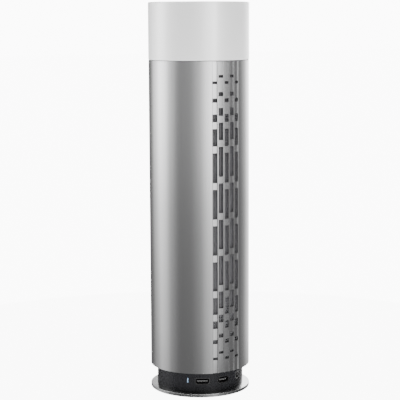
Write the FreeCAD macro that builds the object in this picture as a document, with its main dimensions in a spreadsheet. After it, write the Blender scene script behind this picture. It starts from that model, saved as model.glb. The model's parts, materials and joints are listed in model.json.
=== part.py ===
import FreeCAD, Part
import math
import os
import Sketcher
from types import SimpleNamespace

# Compact tower fan: a fluted aluminium tube with slotted air grilles, a closed white cap and a
# black plinth on a metal foot disc. The tube swivels on the plinth, and a cross-flow impeller
# turns inside it. Z is up and the origin is the centre of the surface it stands on. The sockets
# and the air inlet face +Y, the back, and the air outlet faces -Y. Millimetres and degrees.

document = FreeCAD.newDocument("TowerFan")
sheet = document.addObject("Spreadsheet::Sheet", "Sizes")

driving_sizes = {
    # whole tower
    "total_height": 380.0,
    "tower_radius": 49.0,
    "cap_height": 55.0,
    "seam_gap": 0.5,
    # fits between pieces
    "running_gap": 0.05,
    "slip_gap": 0.1,
    "moving_gap": 0.4,
    # outer sleeve, its flutes and slots
    "sleeve_wall": 3.2,
    "sleeve_drop": 6.8,
    "flute_count": 5,
    "flute_pitch": 7.35,
    "flute_width": 5.2,
    "flute_depth": 1.2,
    "slot_width": 4.6,
    "slot_stagger": 5.9,
    "slot_margin": 13.0,
    "slot_web": 6.4,
    "slot_medium": 16.5,
    "slot_short": 7.4,
    "slot_small": 3.9,
    "slot_tiny": 2.6,
    "slot_web_inner": 11.1,
    "slot_web_outer": 13.4,
    # foot disc, foot ring and ballast
    "foot_stand": 0.5,
    "disc_thick": 3.3,
    "disc_radius": 49.0,
    "foot_ring_radius": 45.0,
    "foot_ring_width": 5.0,
    "foot_ring_sunk": 1.5,
    "ballast_thick": 2.7,
    "ballast_gap": 2.0,
    # plinth housing
    "plinth_height": 23.4,
    "plinth_radius": 42.5,
    "plinth_wall": 2.5,
    "deck_thick": 2.5,
    "boss_radius": 3.5,
    "boss_ring": 33.0,
    "boss_angle": 20.0,
    "screw_radius": 1.4,
    "screw_head_radius": 2.6,
    "screw_head": 1.6,
    "screw_grip": 9.0,
    "screw_fill": 0.8,
    "small_head_radius": 2.1,
    # sockets, seen from the back; angles run from +Y towards +X
    "wide_socket_angle": 29.5,
    "wide_socket_width": 14.8,
    "wide_socket_height": 6.6,
    "wide_socket_bevel": 1.7,
    "oval_socket_width": 13.6,
    "oval_socket_height": 6.6,
    "socket_lift": 0.4,
    "socket_wall": 0.5,
    "socket_depth": 11.0,
    "socket_recess": 0.5,
    "tongue_thick": 1.2,
    "tongue_reach": 0.85,
    "wide_tongue_share": 0.72,
    "oval_tongue_share": 0.62,
    "jack_angle": 28.0,
    "jack_radius": 4.4,
    "jack_bore": 2.9,
    "jack_pin": 1.0,
    "jack_depth": 9.0,
    "light_angle": 49.0,
    "light_width": 1.3,
    "light_height": 4.6,
    "light_lift": 2.25,
    "light_depth": 6.0,
    "lamp_width": 2.2,
    # socket board
    "board_lift": 3.1,
    "board_thick": 1.6,
    "board_gap": 1.5,
    "board_sweep": 120.0,
    "spacer_radius": 2.5,
    "spacer_ring": 20.0,
    # swivel bearing, gear pair and motor
    "hub_radius": 7.0,
    "hub_bore": 4.2,
    "bush_wall": 2.0,
    "bush_flange": 11.5,
    "washer_thick": 0.5,
    "washer_radius": 20.0,
    "gear_module": 1.0,
    "gear_teeth": 44,
    "pinion_teeth": 14,
    "gear_thick": 3.6,
    "tooth_addendum": 0.9,
    "tooth_dedendum": 1.2,
    "tooth_tip_share": 0.13,
    "tooth_root_share": 0.33,
    "tooth_play": 0.12,
    "gear_deck_gap": 0.8,
    "retainer_thick": 1.0,
    "retainer_width": 2.5,
    "retainer_groove": 0.63,
    "swivel_motor_radius": 10.0,
    "swivel_motor_room": 3.0,
    "swivel_ear_reach": 14.0,
    "swivel_ear_thick": 1.2,
    "swivel_shaft": 1.5,
    "swing_limit": 35.0,
    "stop_ring": 26.0,
    "stop_radius": 1.5,
    "stop_play": 1.5,
    # turntable and the frame on it
    "turntable_thick": 3.0,
    "sleeve_seat": 0.8,
    "rod_ring": 39.6,
    "rod_angle": 28.0,
    "rod_radius": 1.5,
    "rod_head_radius": 2.7,
    "rod_head": 1.6,
    "rod_spacer": 3.0,
    "nut_height": 2.4,
    "plate_thick": 3.0,
    "plate_gap": 0.8,
    # fan motor
    "lead_space": 10.0,
    "motor_radius": 19.0,
    "motor_height": 24.0,
    "motor_nose": 6.0,
    "motor_shaft": 1.6,
    "grommet_thick": 2.0,
    "grommet_radius": 3.5,
    "motor_screw_ring": 13.5,
    "motor_screw_radius": 1.2,
    # impeller, its end bearing and the walls around it
    "impeller_radius": 26.0,
    "impeller_gap": 5.0,
    "impeller_ring": 1.5,
    "impeller_sections": 4,
    "blade_count": 24,
    "blade_depth": 6.5,
    "blade_thick": 0.9,
    "blade_lean": 0.42,
    "blade_bend": 0.35,
    "blade_taper": 0.3,
    "impeller_hub": 6.0,
    "impeller_hub_height": 8.0,
    "stub_radius": 2.0,
    "bearing_radius": 5.0,
    "boot_radius": 8.0,
    "duct_wall": 1.6,
    "scroll_rod_gap": 1.5,
    "scroll_spread": 3.75,
    "scroll_sweep": 124.0,
    "stabiliser_gap": 2.5,
    "stabiliser_sweep": 110.0,
    "duct_length": 13.0,
    # screens behind the slots
    "screen_gap": 0.2,
    "screen_thick": 0.8,
    "screen_half_angle": 22.0,
    # cap collar and cap
    "collar_spigot": 10.0,
    "collar_web": 3.0,
    "collar_wall": 2.8,
    "collar_hole": 28.0,
    "collar_rim": 0.6,
    "collar_register": 5.0,
    "cap_wall": 2.5,
    "cap_post": 3.0,
    "cap_post_ring": 39.0,
    "cap_edge": 1.0,
    # button and its board
    "button_radius": 9.0,
    "button_gap": 0.3,
    "button_flange": 1.5,
    "button_flange_thick": 1.2,
    "button_travel": 0.8,
    "button_stem": 2.0,
    "guide_wall": 1.5,
    "guide_depth": 5.5,
    "control_drop": 9.5,
    "control_radius": 33.0,
    "pillar_ring": 28.0,
    "pillar_radius": 2.6,
    "switch_width": 6.0,
    "switch_height": 3.3,
    "switch_case": 2.64,
    "spring_radius": 6.5,
    "spring_wire": 0.5,
    "spring_turns": 4,
    "spring_play": 0.1,
    # leads between the socket board and the control board
    "riser_radius": 1.6,
    "lead_radius": 1.2,
    "lead_ring": 40.0,
    "lead_rise": 5.0,
    "lead_slack": 12.0,
    "lead_foot_bend": 8.0,
    "lead_long_bend": 24.0,
    "lead_plug_width": 8.0,
    "lead_plug_depth": 4.8,
    "lead_plug_height": 6.0,
    "lead_plug_reach": 26.0,
    "riser_plug_width": 5.6,
    "riser_plug_height": 3.6,
}
for row, (alias, value) in enumerate(driving_sizes.items(), 1):
    sheet.set("A%d" % row, alias.replace("_", " "))
    sheet.set("B%d" % row, str(value))
    sheet.setAlias("B%d" % row, alias)
document.recompute()


class Size:
    # A number together with the sheet expression that it comes from.
    def __init__(self, value, text):
        self.value = value
        self.text = text

    def __add__(self, other):
        other = as_size(other)
        return Size(self.value + other.value, "(%s + %s)" % (self.text, other.text))

    def __sub__(self, other):
        other = as_size(other)
        return Size(self.value - other.value, "(%s - %s)" % (self.text, other.text))

    def __mul__(self, other):
        other = as_size(other)
        return Size(self.value * other.value, "(%s * %s)" % (self.text, other.text))

    def __truediv__(self, other):
        other = as_size(other)
        return Size(self.value / other.value, "(%s / %s)" % (self.text, other.text))

    def __neg__(self):
        return as_size(0) - self

    def __radd__(self, other):
        return as_size(other) + self

    def __rsub__(self, other):
        return as_size(other) - self

    __rmul__ = __mul__


def as_size(number):
    if isinstance(number, Size):
        return number
    return Size(float(number), "%r" % float(number))


def cosine(angle):
    angle = as_size(angle)
    return Size(math.cos(math.radians(angle.value)), "cos(%s * 1 deg)" % angle.text)


def sine(angle):
    angle = as_size(angle)
    return Size(math.sin(math.radians(angle.value)), "sin(%s * 1 deg)" % angle.text)


def polar(radius, angle):
    return as_size(radius) * cosine(angle), as_size(radius) * sine(angle)


dim = SimpleNamespace()
for alias, value in driving_sizes.items():
    setattr(dim, alias, Size(float(value), "Sizes." + alias))

# Heights and radii that several pieces share, worked out from the driving sizes.
disc_top = dim.foot_stand + dim.disc_thick
ballast_top = disc_top + dim.ballast_thick
plinth_top = disc_top + dim.plinth_height
plinth_inside = dim.plinth_radius - dim.plinth_wall
deck_bottom = plinth_top - dim.deck_thick
board_bottom = ballast_top + dim.board_lift
board_top = board_bottom + dim.board_thick
turntable_bottom = plinth_top + dim.washer_thick + dim.slip_gap
turntable_top = turntable_bottom + dim.turntable_thick
gear_top = deck_bottom - dim.gear_deck_gap
gear_bottom = gear_top - dim.gear_thick
gear_centres = dim.gear_module * (dim.gear_teeth + dim.pinion_teeth) / 2
groove_radius = dim.hub_radius - dim.retainer_groove
swivel_motor_top = gear_bottom - dim.retainer_thick - dim.slip_gap
swivel_motor_bottom = ballast_top + dim.swivel_motor_room
swivel_motor_height = swivel_motor_top - swivel_motor_bottom
socket_front = dim.plinth_radius - dim.socket_recess
jack_middle = board_top + dim.jack_radius
sleeve_bottom = turntable_top - dim.sleeve_drop
sleeve_top = dim.total_height - dim.cap_height - dim.seam_gap
sleeve_inside = dim.tower_radius - dim.sleeve_wall
seat_radius = sleeve_inside + dim.sleeve_seat
screen_outside = sleeve_inside - dim.screen_gap
plate_radius = screen_outside - dim.screen_thick - dim.plate_gap
motor_bottom = turntable_top + dim.lead_space
motor_top = motor_bottom + dim.motor_height
lower_plate_bottom = motor_top + dim.grommet_thick
lower_plate_top = lower_plate_bottom + dim.plate_thick
collar_bottom = sleeve_top - dim.collar_spigot
web_top = collar_bottom + dim.collar_web
upper_plate_top = collar_bottom - dim.plate_thick * 2
upper_plate_bottom = upper_plate_top - dim.plate_thick
impeller_bottom = lower_plate_top + dim.impeller_gap
impeller_top = upper_plate_bottom - dim.impeller_gap
section_length = (impeller_top - impeller_bottom - dim.impeller_ring * 2) / dim.impeller_sections
scroll_room = (dim.rod_ring - dim.rod_spacer - dim.scroll_rod_gap - dim.duct_wall
               - dim.impeller_radius)
scroll_shift = scroll_room / dim.scroll_spread
scroll_radius = dim.impeller_radius + scroll_room - scroll_shift
cap_bottom = sleeve_top + dim.seam_gap
cap_inside = dim.tower_radius - dim.cap_wall
cap_ceiling = dim.total_height - dim.cap_wall
control_top = cap_ceiling - dim.control_drop
control_bottom = control_top - dim.board_thick
flange_top = cap_ceiling - dim.button_gap
flange_bottom = flange_top - dim.button_flange_thick
rod_angles = (dim.rod_angle, 180 - dim.rod_angle, 180 + dim.rod_angle, 360 - dim.rod_angle)
boss_angles = (dim.boss_angle, 180 - dim.boss_angle, 180 + dim.boss_angle, 360 - dim.boss_angle)
board_spacer_angles = (50, 90, 130)
motor_screw_angles = (90, 210, 330)
cap_post_angles = (0, 120, 240)
pillar_angles = (90, 210, 330)

nodes = []


def bind(thing, property_name, size):
    thing.setExpression(property_name, as_size(size).text)


def place(thing, x=0, y=0, z=0, turn=0):
    for property_name, size in (("Base.x", x), ("Base.y", y), ("Base.z", z)):
        if as_size(size).value or isinstance(size, Size):
            bind(thing, "Placement." + property_name, size)
    if as_size(turn).value or isinstance(turn, Size):
        bind(thing, "Placement.Rotation.Angle", turn)
    return thing


def node(label, thing):
    thing.Label = label
    nodes.append(thing)
    return thing


def cylinder(radius, height, x=0, y=0, z=0):
    thing = document.addObject("Part::Cylinder", "Cylinder")
    bind(thing, "Radius", radius)
    bind(thing, "Height", height)
    return place(thing, x, y, z)


def level_cylinder(radius, length, x, start, z):
    # A cylinder along +Y, from start.
    thing = document.addObject("Part::Cylinder", "LevelCylinder")
    thing.Placement.Rotation = FreeCAD.Rotation(FreeCAD.Vector(1, 0, 0), -90)
    bind(thing, "Radius", radius)
    bind(thing, "Height", length)
    return place(thing, x, start, z)


def box(length, width, height, x=0, y=0, z=0):
    # x is the middle of the length; y and z are the near and the bottom face.
    thing = document.addObject("Part::Box", "Box")
    bind(thing, "Length", length)
    bind(thing, "Width", width)
    bind(thing, "Height", height)
    return place(thing, as_size(x) - as_size(length) / 2, y, z)


def sector(radius, height, z, start, sweep, x=0):
    thing = document.addObject("Part::Cylinder", "Sector")
    bind(thing, "Radius", radius)
    bind(thing, "Height", height)
    bind(thing, "Angle", sweep)
    return place(thing, x, 0, z, start)


def fuse(*things):
    thing = document.addObject("Part::MultiFuse", "Fuse")
    thing.Shapes = list(things)
    return thing


def cut(base, *tools):
    thing = document.addObject("Part::Cut", "Cut")
    thing.Base = base
    thing.Tool = tools[0] if len(tools) == 1 else fuse(*tools)
    return thing


def group(things):
    # Separate solids that share one node.
    thing = document.addObject("Part::Compound", "Group")
    thing.Links = list(things)
    return thing


def tube(outer, inner, height, x=0, y=0, z=0):
    return cut(cylinder(outer, height, x, y, z), cylinder(inner, height, x, y, z))


def ring_sector(inner, outer, height, z, start, sweep, x=0):
    whole = sector(outer, height, z, start, sweep, x)
    return cut(whole, cylinder(inner, height, x, 0, z))


def origin_part(body, role):
    return [part for part in body.Origin.OriginFeatures if part.Role == role][0]


def sketch(body, plane, loops, lift=0, turn=0):
    # A sketch of closed straight-sided loops, each corner tied to the sheet.
    drawing = body.newObject("Sketcher::SketchObject", "Sketch")
    drawing.AttachmentSupport = [(origin_part(body, plane), "")]
    drawing.MapMode = "FlatFace"
    bind(drawing, "AttachmentOffset.Base.z", lift)
    bind(drawing, "AttachmentOffset.Rotation.Angle", turn)
    first = 0
    for loop in loops:
        corners = [(as_size(across), as_size(up)) for across, up in loop]
        vectors = [FreeCAD.Vector(across.value, up.value, 0) for across, up in corners]
        for index, corner in enumerate(vectors):
            following = vectors[(index + 1) % len(vectors)]
            drawing.addGeometry(Part.LineSegment(corner, following), False)
        for index, (across, up) in enumerate(corners):
            line = first + index
            following = first + (index + 1) % len(corners)
            drawing.addConstraint(Sketcher.Constraint("Coincident", line, 2, following, 1))
            for kind, size in (("DistanceX", across), ("DistanceY", up)):
                number = drawing.addConstraint(Sketcher.Constraint(kind, -1, 1, line, 1, size.value))
                drawing.setExpression("Constraints[%d]" % number, size.text)
        first += len(corners)
    return drawing


def turned(loop):
    # A body turned about Z from its half outline of (radius, height) corners.
    body = document.addObject("PartDesign::Body", "Turned")
    drawing = sketch(body, "XZ_Plane", [loop])
    revolution = body.newObject("PartDesign::Revolution", "Revolution")
    revolution.Profile = drawing
    revolution.ReferenceAxis = (drawing, ["V_Axis"])
    revolution.Angle = 360
    body.Tip = revolution
    return body


def pad(body, drawing, length):
    feature = body.newObject("PartDesign::Pad", "Pad")
    feature.Profile = drawing
    bind(feature, "Length", length)
    body.Tip = feature
    return feature


def through_pocket(body, drawing):
    # Cuts both ways from its plane, so the wall on each side of the axis is opened.
    feature = body.newObject("PartDesign::Pocket", "Pocket")
    feature.Profile = drawing
    feature.Type = "ThroughAll"
    feature.Midplane = True
    body.Tip = feature
    return feature


def polar_pattern(body, feature, count, angle):
    pattern = body.newObject("PartDesign::PolarPattern", "PolarPattern")
    pattern.Originals = [feature]
    pattern.Axis = (origin_part(body, "Z_Axis"), [""])
    bind(pattern, "Occurrences", count)
    bind(pattern, "Angle", angle)
    body.Tip = pattern
    return pattern


def rectangle(centre_x, half_x, low_y, high_y):
    centre_x = as_size(centre_x)
    return [(centre_x - half_x, low_y), (centre_x + half_x, low_y),
            (centre_x + half_x, high_y), (centre_x - half_x, high_y)]


def screw(shank_radius, shank, head_radius, head, x, y, z):
    # A screw driven upwards: its head below, its shank above, z at the head's lower face.
    return fuse(cylinder(head_radius, head, x, y, z),
                cylinder(shank_radius, as_size(shank) + head, x, y, z))


# ---- foot and plinth, which stay still ----

def foot_disc():
    groove = tube(dim.foot_ring_radius + dim.slip_gap,
                  dim.foot_ring_radius - dim.foot_ring_width - dim.slip_gap,
                  dim.foot_ring_sunk, z=dim.foot_stand)
    holes = []
    for angle in boss_angles:
        x, y = polar(dim.boss_ring, angle)
        holes.append(cylinder(dim.screw_radius + dim.slip_gap, dim.disc_thick, x, y, dim.foot_stand))
        holes.append(cylinder(dim.screw_head_radius + dim.slip_gap, dim.screw_head, x, y,
                              dim.foot_stand))
    edge = dim.disc_thick / 8
    disc = turned([(0, dim.foot_stand), (dim.disc_radius - edge, dim.foot_stand),
                   (dim.disc_radius, dim.foot_stand + edge), (dim.disc_radius, disc_top - edge),
                   (dim.disc_radius - edge, disc_top), (0, disc_top)])
    node("foot_disc", cut(disc, groove, *holes))


def foot_ring():
    node("foot_ring", tube(dim.foot_ring_radius, dim.foot_ring_radius - dim.foot_ring_width,
                           dim.foot_stand + dim.foot_ring_sunk))


def ballast_plate():
    holes = []
    for angle in boss_angles:
        x, y = polar(dim.boss_ring, angle)
        holes.append(cylinder(dim.screw_radius + dim.slip_gap, dim.ballast_thick, x, y, disc_top))
    plate = cylinder(plinth_inside - dim.ballast_gap, dim.ballast_thick, z=disc_top)
    node("ballast_plate", cut(plate, *holes))


def socket_outline(width, height, bevel):
    # A socket mouth with bevelled lower corners, centred on x = 0.
    low = board_top + dim.socket_lift
    half = as_size(width) / 2
    return [(half - bevel, low), (half, low + bevel), (half, low + height),
            (-half, low + height), (-half, low + bevel), (bevel - half, low)]


def socket_block(outline, front, length):
    # An outline in the XZ plane pushed from y = front towards the axis.
    body = document.addObject("PartDesign::Body", "Block")
    pad(body, sketch(body, "XZ_Plane", [outline], lift=-as_size(front)), length)
    return body


def oval_block(width, height, front, length, shrink=0):
    half_height = as_size(height) / 2
    reach = as_size(width) / 2 - half_height
    middle = board_top + dim.socket_lift + half_height
    start = as_size(front) - length
    radius = half_height - shrink
    return fuse(level_cylinder(radius, length, reach, start, middle),
                level_cylinder(radius, length, -reach, start, middle),
                box(reach * 2, length, radius * 2, 0, start, middle - radius))


def plinth_openings():
    reach = dim.plinth_wall * 3
    wide = socket_block(socket_outline(dim.wide_socket_width, dim.wide_socket_height,
                                       dim.wide_socket_bevel),
                        dim.plinth_radius + dim.plinth_wall, reach)
    oval = oval_block(dim.oval_socket_width, dim.oval_socket_height,
                      dim.plinth_radius + dim.plinth_wall, reach)
    jack = group([level_cylinder(dim.jack_radius, reach, 0, plinth_inside - dim.plinth_wall,
                                 jack_middle)])
    light = box(dim.light_width, reach, dim.light_height, 0, plinth_inside - dim.plinth_wall,
                board_top + dim.light_lift)
    place(wide, turn=-dim.wide_socket_angle)
    place(jack, turn=dim.jack_angle)
    light_turn = group([light])
    place(light_turn, turn=-dim.light_angle)
    return [wide, oval, jack, light_turn]


def plinth_housing():
    bush_hole = dim.hub_radius + dim.running_gap + dim.bush_wall + dim.slip_gap
    shell = turned([(plinth_inside, disc_top), (dim.plinth_radius, disc_top),
                    (dim.plinth_radius, plinth_top), (bush_hole, plinth_top),
                    (bush_hole, deck_bottom), (plinth_inside, deck_bottom)])
    solids = [shell]
    holes = plinth_openings()
    for angle in boss_angles:
        x, y = polar(dim.boss_ring, angle)
        solids.append(cylinder(dim.boss_radius, deck_bottom - ballast_top, x, y, ballast_top))
        holes.append(cylinder(dim.screw_radius + dim.slip_gap, dim.screw_grip, x, y, ballast_top))
    for side in (-1, 1):
        x = dim.swivel_ear_reach * side
        low = swivel_motor_top
        solids.append(cylinder(dim.boss_radius - dim.screw_radius / 2, deck_bottom - low, x,
                               -gear_centres, low))
        holes.append(cylinder(dim.motor_screw_radius + dim.slip_gap, deck_bottom - low, x,
                              -gear_centres, low))
    stop_sweep = (dim.swing_limit + dim.stop_play) * 2
    side_room = dim.stop_radius * 180 / math.pi / dim.stop_ring
    slot_sweep = stop_sweep + side_room * 2
    holes.append(ring_sector(dim.stop_ring - dim.stop_radius - dim.moving_gap,
                             dim.stop_ring + dim.stop_radius + dim.moving_gap,
                             dim.deck_thick, deck_bottom, 90 - slot_sweep / 2, slot_sweep))
    node("plinth_housing", cut(fuse(*solids), *holes))


def plinth_screws():
    screws = []
    for angle in boss_angles:
        x, y = polar(dim.boss_ring, angle)
        shank = (ballast_top + dim.screw_grip * dim.screw_fill - dim.foot_stand
                 - dim.screw_head)
        screws.append(screw(dim.screw_radius, shank, dim.screw_head_radius, dim.screw_head, x, y,
                            dim.foot_stand))
    node("plinth_screws", group(screws))


def socket_board():
    radius = plinth_inside - dim.board_gap
    board = sector(radius, dim.board_thick, board_bottom, 90 - dim.board_sweep / 2, dim.board_sweep)
    hub = cylinder(dim.hub_radius, dim.board_thick, z=board_bottom)
    node("socket_board", fuse(board, hub))


def board_spacers():
    posts = []
    for angle in board_spacer_angles:
        x, y = polar(dim.spacer_ring, angle)
        posts.append(cylinder(dim.spacer_radius, dim.board_lift, x, y, ballast_top))
    node("board_spacers", group(posts))


def wide_socket():
    width = dim.wide_socket_width - dim.slip_gap * 2
    height = dim.wide_socket_height - dim.slip_gap * 2
    low = board_top + dim.socket_lift + dim.slip_gap
    wall = dim.socket_wall
    outer = [(across, up + dim.slip_gap) for across, up in
             socket_outline(width, height, dim.wide_socket_bevel)]
    inner = [(across, up + dim.slip_gap + wall) for across, up in
             socket_outline(width - wall * 2, height - wall * 2, dim.wide_socket_bevel)]
    shell = cut(socket_block(outer, socket_front, dim.socket_depth),
                socket_block(inner, socket_front, dim.socket_depth - wall * 2))
    place(node("wide_socket_shell", shell), turn=-dim.wide_socket_angle)
    reach = dim.socket_depth - wall * 2
    tongue = box(width * dim.wide_tongue_share, reach * dim.tongue_reach, dim.tongue_thick, 0,
                 socket_front - reach, low + height / 2 - dim.tongue_thick / 2)
    place(node("wide_socket_tongue", group([tongue])), turn=-dim.wide_socket_angle)


def oval_socket():
    width = dim.oval_socket_width - dim.slip_gap * 2
    height = dim.oval_socket_height - dim.slip_gap * 2
    wall = dim.socket_wall
    reach = dim.socket_depth - wall * 2
    outer = oval_block(width, height, socket_front, dim.socket_depth)
    inner = oval_block(width, height, socket_front, reach, shrink=wall)
    shell = cut(outer, inner)
    bind(shell, "Placement.Base.z", dim.slip_gap)
    node("oval_socket_shell", shell)
    middle = board_top + dim.socket_lift + dim.oval_socket_height / 2
    tongue = box(width * dim.oval_tongue_share, reach * dim.tongue_reach, dim.tongue_thick, 0,
                 socket_front - reach, middle - dim.tongue_thick / 2)
    node("oval_socket_tongue", tongue)


def power_jack():
    radius = dim.jack_radius - dim.slip_gap
    start = plinth_inside - dim.socket_depth
    block_front = plinth_inside - dim.board_gap
    barrel = level_cylinder(radius, socket_front - start, 0, start, jack_middle)
    block = box(radius * 2, block_front - start, dim.jack_radius, 0, start, board_top)
    bore = level_cylinder(dim.jack_bore, dim.jack_depth, 0, socket_front - dim.jack_depth,
                          jack_middle)
    jack = cut(fuse(barrel, block), bore)
    place(node("power_jack_body", jack), turn=dim.jack_angle)
    pin = level_cylinder(dim.jack_pin, dim.jack_depth * dim.tongue_reach, 0,
                         socket_front - dim.jack_depth, jack_middle)
    place(node("power_jack_pin", group([pin])), turn=dim.jack_angle)


def status_light():
    width = dim.light_width - dim.slip_gap
    height = dim.light_height - dim.slip_gap
    start = dim.plinth_radius - dim.light_depth
    low = board_top + dim.light_lift + dim.slip_gap / 2
    lens = box(width, dim.light_depth - dim.slip_gap, height, 0, start, low)
    place(node("status_light_lens", group([lens])), turn=-dim.light_angle)
    lamp = box(dim.lamp_width, dim.light_width, low + height / 2 - board_top, 0,
               start - dim.light_width - dim.moving_gap, board_top)
    place(node("status_lamp", group([lamp])), turn=-dim.light_angle)


# ---- swivel bearing, motor and gear pair ----

def swivel_bush():
    bore = dim.hub_radius + dim.running_gap
    outside = bore + dim.bush_wall
    node("swivel_bush", turned([(bore, deck_bottom), (outside, deck_bottom), (outside, plinth_top),
                                (dim.bush_flange, plinth_top),
                                (dim.bush_flange, plinth_top + dim.washer_thick),
                                (bore, plinth_top + dim.washer_thick)]))


def swivel_washer():
    node("swivel_washer", tube(dim.washer_radius, dim.bush_flange + dim.moving_gap,
                               dim.washer_thick, z=plinth_top))


def gear_blank(teeth, phase, outside, root):
    # The outline of straight-sided teeth; phase is the direction of one tooth's middle.
    corners = []
    for tooth in range(teeth):
        middle = math.radians(phase + 360.0 * tooth / teeth)
        pitch = 2 * math.pi / teeth
        tip = dim.tooth_tip_share.value
        foot = dim.tooth_root_share.value
        for share, radius in ((-foot, root), (-tip, outside), (tip, outside), (foot, root)):
            trim = -math.copysign(dim.tooth_play.value / radius, share)
            angle = middle + share * pitch + trim
            corners.append(FreeCAD.Vector(radius * math.cos(angle), radius * math.sin(angle), 0))
    corners.append(corners[0])
    return Part.Face(Part.makePolygon(corners))


def toothed(label, teeth, phase, bore):
    module = dim.gear_module.value
    pitch_radius = module * teeth / 2
    blank = gear_blank(teeth, phase, pitch_radius + dim.tooth_addendum.value * module,
                       pitch_radius - dim.tooth_dedendum.value * module)
    solid = blank.extrude(FreeCAD.Vector(0, 0, dim.gear_thick.value))
    solid = solid.cut(Part.makeCylinder(bore, dim.gear_thick.value))
    thing = document.addObject("Part::Feature", "Gear")
    thing.Shape = solid
    return node(label, thing)


def gear_pair():
    gear_count = int(dim.gear_teeth.value)
    gear = toothed("swivel_gear", gear_count, -90 + 180.0 / gear_count,
                   dim.hub_radius.value + dim.slip_gap.value)
    place(gear, z=gear_bottom)
    pinion = toothed("swivel_pinion", int(dim.pinion_teeth.value), 90, dim.swivel_shaft.value)
    place(pinion, y=-gear_centres, z=gear_bottom)
    shaft_bottom = swivel_motor_top - swivel_motor_height / 2
    node("swivel_motor_shaft", cylinder(dim.swivel_shaft, gear_top - shaft_bottom, 0,
                                        -gear_centres, shaft_bottom))


def swivel_motor():
    y = -gear_centres
    can = cylinder(dim.swivel_motor_radius, swivel_motor_height, 0, y, swivel_motor_bottom)
    ear = box(dim.swivel_ear_reach * 2, dim.boss_radius * 2, dim.swivel_ear_thick, 0,
              y - dim.boss_radius, swivel_motor_top - dim.swivel_ear_thick)
    solids = [can, ear]
    shaft_depth = swivel_motor_height / 2 + dim.slip_gap
    holes = [cylinder(dim.swivel_shaft + dim.running_gap, shaft_depth, 0, y,
                      swivel_motor_top - shaft_depth)]
    for side in (-1, 1):
        x = dim.swivel_ear_reach * side
        solids.append(cylinder(dim.boss_radius, dim.swivel_ear_thick, x, y,
                               swivel_motor_top - dim.swivel_ear_thick))
        holes.append(cylinder(dim.motor_screw_radius + dim.slip_gap, dim.swivel_ear_thick, x, y,
                              swivel_motor_top - dim.swivel_ear_thick))
    node("swivel_motor", cut(fuse(*solids), *holes))


def swivel_motor_screws():
    screws = []
    low = swivel_motor_top - dim.swivel_ear_thick - dim.screw_head
    for side in (-1, 1):
        shank = dim.swivel_ear_thick + (deck_bottom - swivel_motor_top) * dim.screw_fill
        screws.append(screw(dim.motor_screw_radius, shank, dim.small_head_radius, dim.screw_head,
                            dim.swivel_ear_reach * side, -gear_centres, low))
    node("swivel_motor_screws", group(screws))


def hub_retainer():
    node("hub_retainer", tube(dim.hub_radius + dim.retainer_width, groove_radius,
                              dim.retainer_thick, z=gear_bottom - dim.retainer_thick))


# ---- turntable and the frame inside the tube ----

def turntable():
    hub_bottom = gear_bottom - dim.retainer_thick * 2
    groove_low = gear_bottom - dim.retainer_thick - dim.slip_gap / 2
    groove = groove_radius - dim.slip_gap / 2
    plate = turned([(dim.hub_bore, hub_bottom), (dim.hub_radius, hub_bottom),
                    (dim.hub_radius, groove_low), (groove, groove_low),
                    (groove, gear_bottom), (dim.hub_radius, gear_bottom),
                    (dim.hub_radius, turntable_bottom),
                    (seat_radius - dim.slip_gap, turntable_bottom),
                    (seat_radius - dim.slip_gap, turntable_top), (dim.hub_bore, turntable_top)])
    peg_low = gear_top + dim.gear_deck_gap / 2
    peg = cylinder(dim.stop_radius, turntable_bottom - peg_low + dim.turntable_thick / 2, 0,
                   dim.stop_ring, peg_low)
    holes = []
    for angle in rod_angles:
        x, y = polar(dim.rod_ring, angle)
        holes.append(cylinder(dim.rod_radius + dim.slip_gap, dim.turntable_thick, x, y,
                              turntable_bottom))
        holes.append(cylinder(dim.rod_head_radius + dim.slip_gap, dim.rod_head, x, y,
                              turntable_bottom))
    node("turntable", cut(fuse(plate, peg), *holes))


def slot_loops(centre):
    # Twelve slots in a column: four long ones in the middle, shorter and sparser to both ends.
    lengths = (dim.slot_medium, dim.slot_short, dim.slot_small, dim.slot_tiny)
    webs = (dim.slot_web, dim.slot_web, dim.slot_web_inner, dim.slot_web_outer)
    tails = as_size(0)
    for length, web in zip(lengths, webs):
        tails = tails + length + web
    column = sleeve_top - sleeve_bottom - dim.slot_margin * 2 - dim.slot_stagger
    slot_long = (column - tails * 2 - dim.slot_web * 3) / 4
    half = dim.slot_width / 2
    loops = []
    for side in (1, -1):
        near = dim.slot_web / 2
        for length, web in ((slot_long, dim.slot_web), (slot_long, webs[0]), (lengths[0], webs[1]),
                            (lengths[1], webs[2]), (lengths[2], webs[3]), (lengths[3], 0)):
            ends = (centre + near * side, centre + (near + length) * side)
            loops.append(rectangle(0, half, ends[(1 - side) // 2], ends[(1 + side) // 2]))
            near = near + length + web
    return loops


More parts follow.
